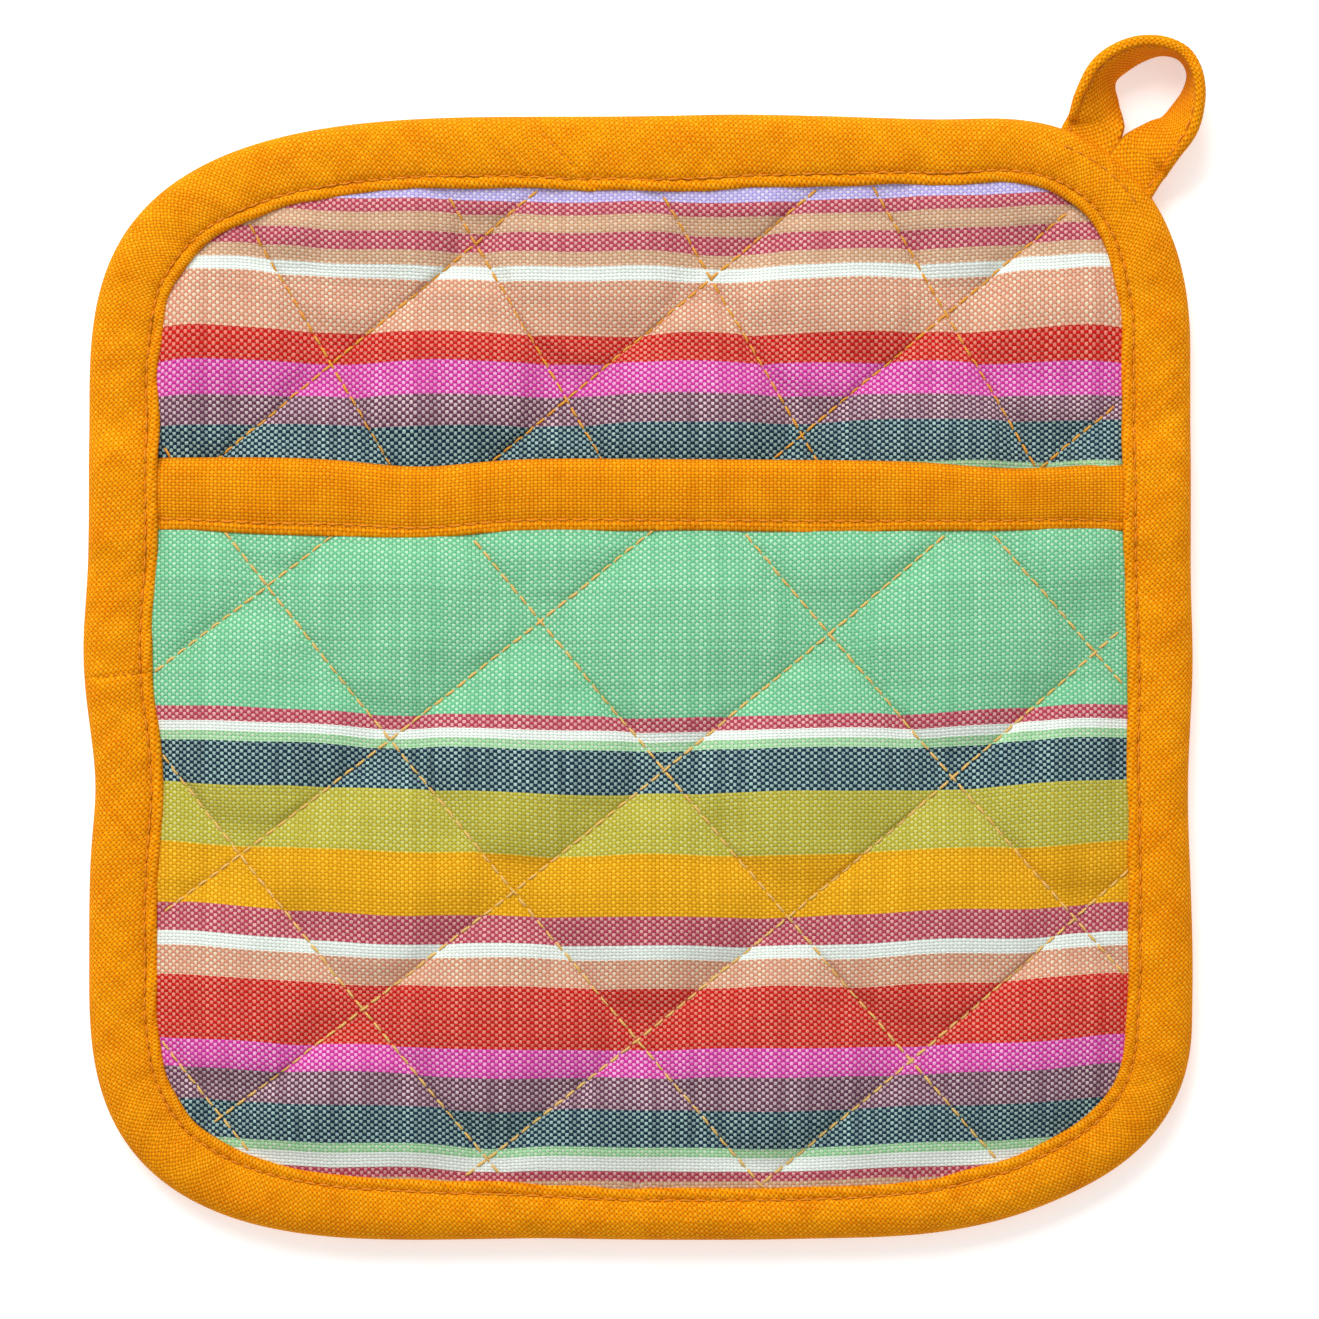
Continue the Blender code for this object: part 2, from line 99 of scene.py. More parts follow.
BAND = 13.4
CLOTH = 0.45
FOLDED = 0.8
STITCH = 2.9
QUILT_STITCH = 2.7
THREAD = 0.48
EDGE_THREAD = 0.40
BOBBIN_THREAD = 0.34
STITCH_INSET = 1.7
EDGE_STITCH_ROW = 2.45
BAND_STITCH_ROW = -2.3
ROOT_ROW_INSET = 2.95
LIP_MIDDLE = 7.0

# Heights, in mm above the table
LIP_TOP_PAD = 7.0
LIP_TOP_POCKET = 7.8
BAND_BUMP = 1.0
LIP_BOTTOM = 0.7
SEAM_Z = 4.0
GROOVE_BACK = 1.1
PUFF = 3.4
PUFF_SQUARENESS = 0.8
PILLOW_EDGE = 13.0
CLOTH_FRAMES = 25
POCKET_SEAM_Z = 9.6
POCKET_RISE = 4.4


# ---------------------------------------------------------------- small maths
def smooth(value):
    """Ease from 0 to 1."""
    value = np.clip(value, 0.0, 1.0)
    return value * value * (3.0 - 2.0 * value)


def waves(s, seed, longest=60.0, count=5):
    """A smooth random wave along s, about -1 to 1, the same on every run."""
    rng = np.random.default_rng(seed)
    total = np.zeros_like(np.asarray(s, float))
    for _ in range(count):
        total += np.sin(math.tau * s / (longest * rng.uniform(0.35, 1.0)) + rng.uniform(0, math.tau))
    return total / count ** 0.5 / 1.4


def waves_2d(x, y, seed, longest=60.0, count=9):
    """The same over a surface."""
    rng = np.random.default_rng(seed)
    total = np.zeros_like(np.asarray(x, float))
    for _ in range(count):
        angle = rng.uniform(0, math.tau)
        length = longest * rng.uniform(0.35, 1.0)
        total += np.sin(math.tau * (x * math.cos(angle) + y * math.sin(angle)) / length
                        + rng.uniform(0, math.tau))
    return total / count ** 0.5 / 1.4


def to_world(points):
    """Pad millimetres to metres in the frame."""
    return (np.asarray(points, float) + PAD_CENTRE) * MM


# ---------------------------------------------------------------- the bound edge's outline
def build_outline():
    """Points, inward normals, run length, direction angle and lip width round the pad's edge."""
    points = []
    quarter = np.linspace(0.0, 1.0, 160)
    for sign_x, sign_y, reach_x, reach_y, power in CORNERS:
        side_x = SIDES["right"] if sign_x > 0 else SIDES["left"]
        side_y = SIDES["top"] if sign_y > 0 else SIDES["bottom"]
        turn = quarter * math.pi / 2
        if sign_x * sign_y < 0:
            turn = turn[::-1]
        x = side_x - sign_x * reach_x * (1.0 - np.cos(turn) ** (2.0 / power))
        y = side_y - sign_y * reach_y * (1.0 - np.sin(turn) ** (2.0 / power))
        points.append(np.c_[x, y])
    loop = np.concatenate(points)
    loop = np.concatenate([loop, loop[:1]])
    steps = np.hypot(*np.diff(loop, axis=0).T)
    run = np.r_[0.0, np.cumsum(steps)]
    even = np.linspace(0.0, run[-1], OUTLINE_POINTS, endpoint=False)
    loop = np.c_[np.interp(even, run, loop[:, 0]), np.interp(even, run, loop[:, 1])]
    angle = np.degrees(np.arctan2(loop[:, 1], loop[:, 0]))
    bulge = np.zeros(len(loop))
    for at, height, width in EDGE_BULGES:
        apart = (angle - at + 180.0) % 360.0 - 180.0
        bulge += height * np.exp(-(apart / width) ** 2)
    inward = normals_of(loop)
    loop = loop - inward * bulge[:, None]
    angle = np.degrees(np.arctan2(loop[:, 1], loop[:, 0]))
    steps = np.hypot(*(np.roll(loop, -1, axis=0) - loop).T)
    run = np.r_[0.0, np.cumsum(steps)[:-1]]
    keys = np.array(LIP_WIDTHS)
    width = np.interp(angle, keys[:, 0], keys[:, 1])
    kernel = np.hanning(61)
    width = np.convolve(np.r_[width[-30:], width, width[:30]], kernel / kernel.sum(), "valid")
    return loop, normals_of(loop), run, angle, width


def normals_of(loop):
    """Inward normals of a closed anticlockwise loop, smoothed a little."""
    ahead = np.roll(loop, -6, axis=0) - np.roll(loop, 6, axis=0)
    ahead /= np.hypot(*ahead.T)[:, None]
    return np.c_[-ahead[:, 1], ahead[:, 0]]


OUTLINE, INWARD, RUN, ANGLE, WIDTH = build_outline()


def edge_field(x, y):
    """Distance inside the outline, and the lip width at the nearest edge point."""
    x, y = np.ravel(x), np.ravel(y)
    depth = np.empty(len(x))
    width = np.empty(len(x))
    for start in range(0, len(x), 4000):
        part = slice(start, start + 4000)
        gap_x = x[part, None] - OUTLINE[None, :, 0]
        gap_y = y[part, None] - OUTLINE[None, :, 1]
        squared = gap_x ** 2 + gap_y ** 2
        nearest = squared.argmin(axis=1)
        rows = np.arange(len(nearest))
        side = gap_x[rows, nearest] * INWARD[nearest, 0] + gap_y[rows, nearest] * INWARD[nearest, 1]
        depth[part] = np.sqrt(squared[rows, nearest]) * np.sign(side)
        width[part] = WIDTH[nearest]
    return depth, width


def pocket_share(y):
    """1 where the pocket panel lies in the seam, 0 above its mouth."""
    return smooth((MOUTH_Y + 9.0 - y) / 9.0)


def lip_base(y):
    """Height of the binding's front lip over the cloths alone."""
    return LIP_TOP_PAD + (LIP_TOP_POCKET - LIP_TOP_PAD) * pocket_share(y)


def over_loop_ends(x, y):
    """1 over the ends of the loop inside the binding, falling to 0 around them."""
    return np.exp(-((x - LOOP_ROOT[0] + 4.0) ** 2 + (y - LOOP_ROOT[1] + 4.0) ** 2) / 110.0)


def lip_top(x, y):
    """Height of the front lip, raised where it covers the mouth band and the ends of the loop."""
    band = smooth((MOUTH_Y + 6.0 - y) / 6.0) * smooth((y - MOUTH_Y + BAND + 6.0) / 6.0)
    return lip_base(y) + BAND_BUMP * band + 0.45 * over_loop_ends(x, y)


def mouth_line(x):
    """The mouth's top edge, which dips left of the middle and again towards the right."""
    return MOUTH_Y - 0.2 - 0.006 * (x + 40.0) - 1.65 * np.exp(-((x + 42.0) / 14.0) ** 2) \
        - 1.2 * np.exp(-((x - 71.0) / 14.0) ** 2)


def band_width(x):
    """Width of the mouth band, folded wider on the left than on the right."""
    return BAND - 0.8 + 1.1 * np.exp(-((x + 68.0) / 16.0) ** 2) - 1.9 * np.exp(-((x - 74.0) / 18.0) ** 2)


# ---------------------------------------------------------------- meshes
def new_object(name, vertices, faces, uv=None, material=None):
    """A mesh object from pad millimetres."""
    mesh = bpy.data.meshes.new(name)
    mesh.from_pydata([tuple(point) for point in to_world(vertices)], [], faces)
    mesh.update()
    obj = bpy.data.objects.new(name, mesh)
    bpy.context.scene.collection.objects.link(obj)
    if uv is not None:
        layer = mesh.uv_layers.new(name="cloth")
        index = np.empty(len(mesh.loops), int)
        mesh.loops.foreach_get("vertex_index", index)
        layer.data.foreach_set("uv", np.asarray(uv, np.float32)[index].ravel())
    if material is not None:
        mesh.materials.append(material)
    mesh.polygons.foreach_set("use_smooth", [True] * len(mesh.polygons))
    return obj


def apply_modifiers(obj):
    """Replace the mesh by what its modifiers make."""
    depsgraph = bpy.context.evaluated_depsgraph_get()
    made = bpy.data.meshes.new_from_object(obj.evaluated_get(depsgraph), depsgraph=depsgraph)
    old = obj.data
    obj.modifiers.clear()
    obj.data = made
    made.name = old.name
    bpy.data.meshes.remove(old)


def coordinates(obj):
    """Vertex places in pad millimetres."""
    flat = np.empty(len(obj.data.vertices) * 3)
    obj.data.vertices.foreach_get("co", flat)
    return flat.reshape(-1, 3) / MM - PAD_CENTRE


def subdivide(obj, levels=1):
    """Smooth subdivision, applied."""
    modifier = obj.modifiers.new("smooth", "SUBSURF")
    modifier.levels = modifier.render_levels = levels
    apply_modifiers(obj)


def thicken(obj, thickness, offset=-1.0):
    """Give a surface the cloth's thickness, applied, with crisp cut edges."""
    modifier = obj.modifiers.new("thickness", "SOLIDIFY")
    modifier.thickness = thickness * MM
    modifier.offset = offset
    modifier.use_even_offset = False
    apply_modifiers(obj)
    obj.data.set_sharp_from_angle(angle=math.radians(55))


def halves(obj, names, centre_x):
    """Cut a surface along the line x = centre_x and return the left and right part."""
    parts = []
    for name, keep_left in zip(names, (True, False)):
        mesh = obj.data.copy()
        mesh.name = name
        cut = bmesh.new()
        cut.from_mesh(mesh)
        plane = Vector(((centre_x + PAD_CENTRE[0]) * MM, 0.0, 0.0))
        bmesh.ops.bisect_plane(cut, geom=cut.verts[:] + cut.edges[:] + cut.faces[:], dist=1e-6,
                               plane_co=plane, plane_no=Vector((1.0, 0.0, 0.0)),
                               clear_outer=keep_left, clear_inner=not keep_left)
        cut.to_mesh(mesh)
        cut.free()
        part = bpy.data.objects.new(name, mesh)
        bpy.context.scene.collection.objects.link(part)
        parts.append(part)
    bpy.data.objects.remove(obj, do_unlink=True)
    return parts


def grid_faces(rows, columns):
    """Quads of a grid of rows x columns points."""
    return [(place, place + 1, place + columns + 1, place + columns)
            for row in range(rows - 1) for place in range(row * columns, (row + 1) * columns - 1)]


def tube_faces(rings, sides, first=0):
    """Faces of a tube of rings of points, closed at both ends."""
    faces = []
    for near in range(first, first + (rings - 1) * sides, sides):
        far = near + sides
        for corner in range(sides):
            after = (corner + 1) % sides
            faces.append((near + corner, near + after, far + after, far + corner))
    last = first + (rings - 1) * sides
    faces.append(tuple(reversed(range(first, first + sides))))
    faces.append(tuple(range(last, last + sides)))
    return faces


# ---------------------------------------------------------------- quilted cloths
def crowd(t):
    """Even steps drawn closer to the whole numbers, so that the cloth is finest along its seams."""
    return t - SEAM_CROWDING / math.tau * np.sin(math.tau * t)


class Quilt:
    """A cloth grid whose lines run along the quilting seams, with the relief of its puffs."""

    def __init__(self, lattice, stray, sag, inside, room, seed, puff):
        start, first, second = lattice
        count = 9 * CELL_STEPS
        i, j = np.meshgrid(np.arange(-count, count + 1), np.arange(-count, count + 1), indexing="ij")
        u, v = crowd(i / CELL_STEPS), crowd(j / CELL_STEPS)
        u = u + np.interp(u, POCKET_FIRST_ROW + np.arange(len(stray)), stray)
        x = start[0] + u * first[0] + v * second[0]
        y = start[1] + u * first[1] + v * second[1]
        y = y + sag * x ** 2
        near = (np.abs(x) < 112.0) & (np.abs(y) < 114.0)
        depth = np.full(x.shape, -99.0)
        width = np.zeros(x.shape)
        depth[near], width[near] = edge_field(x[near], y[near])
        keep = near & inside(x, y, depth, width)
        index = np.full(x.shape, -1)
        faces = []
        for a, b in zip(*np.nonzero(keep[:-1, :-1] & keep[1:, :-1] & keep[1:, 1:] & keep[:-1, 1:])):
            faces.append(((a, b), (a, b + 1), (a + 1, b + 1), (a + 1, b)))
        used = sorted({corner for face in faces for corner in face})
        for number, corner in enumerate(used):
            index[corner] = number
        rows = np.array([corner[0] for corner in used])
        columns = np.array([corner[1] for corner in used])
        self.faces = [tuple(int(index[corner]) for corner in face) for face in faces]
        self.x, self.y = x[rows, columns], y[rows, columns]
        self.depth, self.width = depth[rows, columns], width[rows, columns]
        self.i, self.j = i[rows, columns], j[rows, columns]
        on_seam = (self.i % CELL_STEPS == 0) | (self.j % CELL_STEPS == 0)
        self.pins = on_seam | (room(self.x, self.y, self.depth, self.width) <= 0.0)
        self.relief, self.drift = self.inflate(puff)
        across, along = (share * np.hypot(*step) for share, step in zip(self.from_seams(), (first, second)))
        free = room(self.x, self.y, self.depth, self.width)
        pillow = np.prod([(1.0 - np.clip(1.0 - away / PILLOW_EDGE, 0.0, 1.0) ** 2.4) ** 0.8
                          for away in (across, along)], axis=0)
        blown = (self.relief / puff) ** PUFF_SQUARENESS
        self.relief = puff * (0.5 * pillow + 0.5 * blown) * free
        from_seam = np.minimum(across, along)
        pucker = np.exp(-from_seam / 3.5) * smooth(from_seam / 1.2)
        self.relief = self.relief + 0.14 * pucker * waves_2d(self.x, self.y, seed + 2, 9.0) * free

    def from_seams(self):
        """How far each point is from the nearest seam of either direction, in steps of the lattice."""
        return [np.abs((crowd(number / CELL_STEPS) + 0.5) % 1.0 - 0.5) for number in (self.i, self.j)]

    def inflate(self, puff):
        """Height of the puffs and the sideways drift of the cloth, by cloth simulation."""
        flat = np.c_[self.x, self.y, np.zeros(len(self.x))]
        obj = new_object("inflating", flat, self.faces)
        group = obj.vertex_groups.new(name="pins")
        group.add([int(k) for k in np.nonzero(self.pins)[0]], 1.0, "REPLACE")
        cloth = obj.modifiers.new("cloth", "CLOTH")
        settings = cloth.settings
        settings.vertex_group_mass = "pins"
        settings.quality = 6
        settings.mass = 0.2
        settings.air_damping = 3.0
        settings.tension_stiffness = settings.compression_stiffness = 12.0
        settings.shear_stiffness = 4.0
        settings.bending_stiffness = 0.4
        settings.use_pressure = True
        settings.uniform_pressure_force = 3.2
        settings.shrink_min = -0.022
        settings.effector_weights.gravity = 0.0
        cloth.collision_settings.use_collision = False
        scene = bpy.context.scene
        for step in range(1, CLOTH_FRAMES + 1):
            scene.frame_set(step)
        apply_modifiers(obj)
        moved = coordinates(obj)
        scene.frame_set(1)
        bpy.data.objects.remove(obj, do_unlink=True)
        height = np.clip(moved[:, 2], 0.0, None)
        top = np.percentile(height, 97)
        height = height * puff / max(top, 0.1)
        return height, np.clip(moved[:, :2] - flat[:, :2], -1.5, 1.5)

    def surface(self, name, height, uv, material):
        """The cloth as a surface at the height that a function of this quilt gives."""
        x, y = self.x + self.drift[:, 0], self.y + self.drift[:, 1]
        return new_object(name, np.c_[x, y, height(self)], self.faces, uv(self), material)

    def seams(self):
        """The seam lines as lists of grid points, in order along each line."""
        lines = []
        for fixed, running in ((self.i, self.j), (self.j, self.i)):
            for value in np.unique(fixed[fixed % CELL_STEPS == 0]):
                chosen = np.nonzero(fixed == value)[0]
                chosen = chosen[np.argsort(running[chosen])]
                if len(chosen) > 6:
                    lines.append(np.c_[self.x[chosen], self.y[chosen]])
        return lines


# ---------------------------------------------------------------- stitches
def along_line(line, pitch):
    """Pairs of stitch ends along a polyline."""
    steps = np.hypot(*np.diff(line, axis=0).T)
    run = np.r_[0.0, np.cumsum(steps)]
    marks = np.arange(0.0, run[-1], pitch)
    places = np.c_[np.interp(marks, run, line[:, 0]), np.interp(marks, run, line[:, 1])]
    return list(zip(places[:-1], places[1:]))


class Stitches:
    """A mesh of small thread stitches."""

    def __init__(self, seed):
        self.vertices, self.faces, self.uv = [], [], []
        self.rng = np.random.default_rng(seed)

    def add(self, start, end, up=(0.0, 0.0, 1.0), size=THREAD, lift=0.2, sink=0.22, gap=0.06):
        """One stitch between two needle holes, arched over the cloth and sunk at both ends."""
        start, end, up = np.array(start, float), np.array(end, float), np.array(up, float)
        along = end - start
        length = np.linalg.norm(along)
        if length < 0.3:
            return
        along = along / length
        side = np.cross(up, along)
        side /= max(np.linalg.norm(side), 1e-6)
        swing = self.rng.uniform(-0.09, 0.09)
        size = size * self.rng.uniform(0.88, 1.1)
        first, rings, sides = len(self.vertices), 7, 6
        for ring in range(rings):
            t = ring / (rings - 1)
            place = start + along * length * (gap / 2 + (1.0 - gap) * t)
            arch = math.sin(math.pi * t) ** 0.6 if 0 < t < 1 else 0.0
            place = place + up * (lift * arch - sink * (1.0 - arch)) + side * swing * (2.0 * t - 1.0)
            thick = size / 2 * (0.55 + 0.45 * arch)
            for corner in range(sides):
                turn = math.tau * corner / sides
                self.vertices.append(place + side * math.cos(turn) * thick * 1.1
                                     + up * math.sin(turn) * thick * 0.9)
                self.uv.append((t * length, corner / sides))
        self.faces += tube_faces(rings, sides, first)

    def build(self, name, material):
        """The stitches as one object."""
        return new_object(name, self.vertices, self.faces, self.uv, material)


def surface_tree(*objects):
    """A tree to look up the height of finished cloth."""
    vertices, faces = [], []
    for obj in objects:
        base = len(vertices)
        vertices += [Vector(point) for point in coordinates(obj)]
        faces += [tuple(base + k for k in polygon.vertices) for polygon in obj.data.polygons]
    return BVHTree.FromPolygons(vertices, faces)


def height_at(tree, x, y, top=40.0, direction=-1.0):
    """Height and normal of the cloth at (x, y), looking down from the top or up from below."""
    hit = tree.ray_cast(Vector((x, y, top)), Vector((0.0, 0.0, direction)))
    return (None, None) if hit[0] is None else (hit[0].z, hit[1] if hit[1].z * direction < 0 else -hit[1])


def everywhere(x, y):
    """Allows stitches at any place."""
    return True


def sew(stitches, tree, pairs, allowed, size=THREAD, from_below=False):
    """Put stitches on the cloth between the needle holes of the pairs."""
    top, direction = (-10.0, 1.0) if from_below else (40.0, -1.0)
    for start, end in pairs:
        if not (allowed(*start) and allowed(*end)):
            continue
        low, _ = height_at(tree, *start, top, direction)
        high, _ = height_at(tree, *end, top, direction)
        middle, normal = height_at(tree, *((start + end) / 2), top, direction)
        if low is None or high is None or middle is None:
            continue
        rise = middle - (low + high) / 2
        stitches.add((*start, low + rise), (*end, high + rise), normal, size)


# ---------------------------------------------------------------- materials
class Value:
    """A node's output with arithmetic, so that a material reads like a formula."""

    def __init__(self, graph, socket):
        self.graph, self.socket = graph, socket

    def __add__(self, other):
        return self.graph.maths("ADD", self, other)

    def __sub__(self, other):
        return self.graph.maths("SUBTRACT", self, other)

    def __mul__(self, other):
        return self.graph.maths("MULTIPLY", self, other)

    def __truediv__(self, other):
        return self.graph.maths("DIVIDE", self, other)


class Graph:
    """Short calls for building a material's nodes."""

    def __init__(self, name):
        self.material = bpy.data.materials.new(name)
        self.material.use_nodes = True
        self.tree = self.material.node_tree
        self.shader = self.tree.nodes["Principled BSDF"]

    def put(self, socket, value):
        """Set or link one input."""
        if isinstance(value, Value):
            self.tree.links.new(value.socket, socket)
        else:
            socket.default_value = value

    def node(self, kind, inputs, output=0, **settings):
        """A node with its inputs given by name or in order; returns one of its outputs."""
        node = self.tree.nodes.new("ShaderNode" + kind)
        for name, setting in settings.items():
            setattr(node, name, setting)
        pairs = inputs.items() if isinstance(inputs, dict) else enumerate(inputs)
        for key, value in pairs:
            self.put(node.inputs[key], value)
        return Value(self, node.outputs[output])

    def maths(self, operation, *values):
        """A Math node."""
        return self.node("Math", values, operation=operation)

    def mix(self, factor, first, second, blend="MIX"):
        """A colour mix."""
        node = self.tree.nodes.new("ShaderNodeMix")
        node.data_type = "RGBA"
        node.blend_type = blend
        self.put(node.inputs["Factor"], factor)
        self.put(node.inputs["A"], first)
        self.put(node.inputs["B"], second)
        return Value(self, node.outputs["Result"])

    def noise(self, place, scale, detail=2.0, roughness=0.5):
        """Noise from 0 to 1."""
        return self.node("TexNoise", {"Vector": place, "Scale": scale, "Detail": detail,
                                      "Roughness": roughness}, "Fac")

    def speckle(self, value):
        """One random number for each whole number."""
        return self.node("TexWhiteNoise", {"W": value}, "Value", noise_dimensions="1D")

    def remap(self, value, low, high, new_low, new_high):
        """Map Range, clamped."""
        return self.node("MapRange", (value, low, high, new_low, new_high))

    def ramp(self, value, stops):
        """A stepped colour ramp of (position, colour)."""
        node = self.tree.nodes.new("ShaderNodeValToRGB")
        node.color_ramp.interpolation = "CONSTANT"
        elements = node.color_ramp.elements
        while len(elements) < len(stops):
            elements.new(0.5)
        for element, (position, colour) in zip(elements, stops):
            element.position = position
            element.color = colour
        self.put(node.inputs[0], value)
        return Value(self, node.outputs[0])

    def place(self, turn=0.0):
        """The cloth's own coordinates in mm, optionally turned, and the plain ones as a vector."""
        cloth = self.node("UVMap", (), uv_map="cloth")
        u, v = (self.node("SeparateXYZ", (cloth,), axis) for axis in (0, 1))
        if turn:
            c, s = math.cos(turn), math.sin(turn)
            u, v = u * c + v * s, v * c - u * s
        return u, v, cloth

    def finish(self, colour, height, distance, roughness, strength=1.0, **values):
        """Colour, roughness, other uniform values, and a bump of the height times a distance in m."""
        self.put(self.shader.inputs["Base Color"], colour)
        self.shader.inputs["Roughness"].default_value = roughness
        for name, value in values.items():
            self.shader.inputs[name.replace("_", " ")].default_value = value
        bump = self.node("Bump", {"Strength": strength, "Distance": distance, "Height": height})
        self.put(self.shader.inputs["Normal"], bump)
        return self.material


def linear(rgb):
    """A 0-255 screen colour as a linear one, with alpha."""
    parts = [value / 255.0 for value in rgb]
    return (*(p / 12.92 if p <= 0.04045 else ((p + 0.055) / 1.055) ** 2.4 for p in parts), 1.0)


# Cloth colours: the weft's, and what the pale warp looks like among it
DYES = {
    "lavender": ((176, 162, 224), (214, 212, 232)),
    "raspberry": ((172, 58, 82), (226, 174, 168)),
    "sand": ((200, 152, 118), (220, 198, 170)),
    "white": ((231, 238, 231), (216, 227, 216)),
    "peach": ((208, 138, 110), (226, 212, 184)),
    "red": ((190, 24, 18), (230, 140, 122)),
    "magenta": ((198, 48, 150), (244, 176, 216)),
    "plum": ((100, 56, 78), (212, 192, 196)),
    "navy": ((24, 47, 66), (166, 198, 190)),
    "mint": ((100, 186, 134), (180, 220, 188)),
    "pale green": ((146, 204, 148), (200, 214, 190)),
    "olive": ((178, 166, 44), (202, 202, 124)),
    "mustard": ((212, 148, 8), (244, 188, 50)),
}
# Stripes from the top edge down: dye, and the height where it ends
PAD_STRIPES = (
    ("white", 95.5), ("lavender", 91.6), ("raspberry", 88.5), ("sand", 84.9), ("raspberry", 81.1),
    ("sand", 79.0), ("white", 76.2), ("peach", 65.6), ("red", 60.6), ("magenta", 54.5), ("plum", 48.8),
    ("navy", 41.3), ("pale green", 39.5), ("white", 38.4), ("raspberry", 36.0), ("mint", 0.0),
    ("raspberry", -2.4), ("white", -4.8), ("navy", -13.0), ("olive", -24.0), ("mustard", -36.0),
    ("raspberry", -42.0), ("white", -44.0), ("peach", -50.0), ("red", -62.0), ("magenta", -68.0),
    ("plum", -74.0), ("navy", -81.0), ("mint", -115.0),
)
POCKET_STRIPES = (
    ("mint", -6.65), ("raspberry", -9.1), ("white", -11.4), ("pale green", -13.4), ("navy", -21.4),
    ("olive", -32.7), ("mustard", -44.7), ("raspberry", -50.3), ("white", -52.4), ("peach", -58.0),
    ("red", -69.7), ("magenta", -75.4), ("plum", -81.5), ("navy", -88.5), ("pale green", -90.7),
    ("white", -93.0), ("raspberry", -95.2), ("sand", -97.1), ("plum", -115.0),
)
STRIPE_TOP = 115.0
WARP_PITCH, WEFT_PITCH = 0.74, 0.60
# Yarns, in shares of their pitch: roundness, height, rise over the next yarn, and the weft's lead
YARN_ROUNDNESS, YARN_HEIGHT, YARN_WAVE, WEFT_LEAD = 3.3, 0.9, 0.55, 0.16
# Length and width of the painted shade spot at each needle hole, in mm
HOLE_SHADE_LENGTH, HOLE_SHADE_WIDTH = 0.62, 0.30


def yarns(graph, u, v, weft, warp, gap_shade, fade=0.5, rim=0.95):
    """Plain weave of two yarn colours at cloth coordinates in mm: returns its colour and height.

    The third colour is painted shade: it multiplies the colour in the gaps between the yarns, which start
    below the rim's height. Fade is how much the warp's share varies from yarn to yarn.
    """
    wander = graph.node("CombineXYZ", (u * 0.45, v * 0.45))
    sway = (graph.noise(wander, 1.0, 3.0) - 0.5) * 0.7
    across, along = u / WARP_PITCH + sway, v / WEFT_PITCH + sway * 0.8
    column, row = graph.maths("FLOOR", across), graph.maths("FLOOR", along)

    def yarn_height(number, through, over, sign):
        """Height of one yarn: round across, rising and diving along."""
        aside = through - number - 0.5
        wave = graph.maths("COSINE", (over + (number - 0.5)) * math.pi)
        return aside * aside * -YARN_ROUNDNESS + YARN_HEIGHT + wave * (YARN_WAVE * sign)

    warp_height = yarn_height(column, across, along, 1.0)
    weft_height = yarn_height(row, along, across, -1.0) + WEFT_LEAD
    height = graph.maths("MAXIMUM", warp_height, weft_height)
    on_top = graph.remap(warp_height - weft_height, -0.12, 0.12, 0.0, 1.0)
    slub = graph.noise(graph.node("CombineXYZ", (column * 0.37, v * 0.045)), 1.0, 2.0)
    column_tone = graph.speckle(column + 0.5) - 0.5
    row_tone = graph.speckle(row + 1000.5) - 0.5
    shown = graph.remap(slub, 0.34, 0.66, 0.75 - 0.36 * fade, 0.75 + 0.36 * fade) + column_tone * 0.18
    shown = graph.maths("MINIMUM", graph.maths("MAXIMUM", shown, 0.0), 1.0) * on_top
    tone = row_tone * 0.12 + (column_tone * 0.05 + 1.0)
    colour = graph.mix(1.0, graph.mix(shown, weft, warp), graph.node("CombineColor", (tone,) * 3), "MULTIPLY")
    # Painted shade: the gaps between the yarns, below the rim's height, are darkened by the third colour.
    gap_shade_mask = graph.remap(height, 0.15, rim, 1.0, 0.0)
    return graph.mix(gap_shade_mask, colour, graph.mix(1.0, colour, (*gap_shade, 1.0), "MULTIPLY")), height


def cloth_material(graph, colour, height, sheen):
    """Common cotton settings."""
    return graph.finish(colour, height, 0.00015, 0.95, 0.7, Specular_IOR_Level=0.06, Sheen_Weight=sheen,
                        Sheen_Roughness=0.6)


def striped_cloth(name, stripes):
    """Cotton with a pale warp and weft stripes."""
    graph = Graph(name)
    u, v, _ = graph.place()
    reach = STRIPE_TOP - stripes[-1][1]
    starts = [0.0] + [(STRIPE_TOP - end) / reach for _, end in stripes[:-1]]
    share = graph.maths("SUBTRACT", STRIPE_TOP, v) / reach
    weft, warp = (graph.ramp(share, [(start, linear(DYES[dye][yarn]))
                                     for start, (dye, _) in zip(starts, stripes)]) for yarn in (0, 1))
    # The grey given to yarns is the painted shade of the gaps between the yarns.
    return cloth_material(graph, *yarns(graph, u, v, weft, warp, (0.27, 0.30, 0.32)), 0.03)


def orange_cloth(name, turn, holes=None, tint=(239, 147, 2), deep=(228, 128, 0)):
    """Plain orange cotton, its yarns turned on the strip, with painted shade in the gaps between its yarns
    and in the needle holes along its stitching.

    The holes are given as their pitch and their distance from the strip's inner edge.
    """
    graph = Graph(name)
    u, v, place = graph.place(turn)
    blotch = graph.remap(graph.noise(place, 0.16, 3.0), 0.35, 0.7, 0.0, 1.0)
    tone = graph.mix(blotch, linear(tint), linear(deep))
    warp = graph.mix(0.4, tone, linear((255, 196, 46)))
    # The dark orange-brown given to yarns is the painted shade of the gaps between the yarns.
    colour, height = yarns(graph, u, v, tone, warp, (0.26, 0.09, 0.01), 0.6, 1.15)
    if holes:
        pitch, line = holes
        run, girth, _ = graph.place()
        step = graph.maths("FLOORED_MODULO", run, pitch) - pitch / 2
        near = graph.maths("POWER", step / HOLE_SHADE_LENGTH, 2.0) \
            + graph.maths("POWER", (girth - line) / HOLE_SHADE_WIDTH, 2.0)
        # Painted shade of the needle holes: a dark spot at each hole along the stitching.
        colour = graph.mix(graph.remap(near, 0.3, 1.3, 0.75, 0.0), colour, linear((120, 44, 0)))
    return cloth_material(graph, colour, height, 0.0)


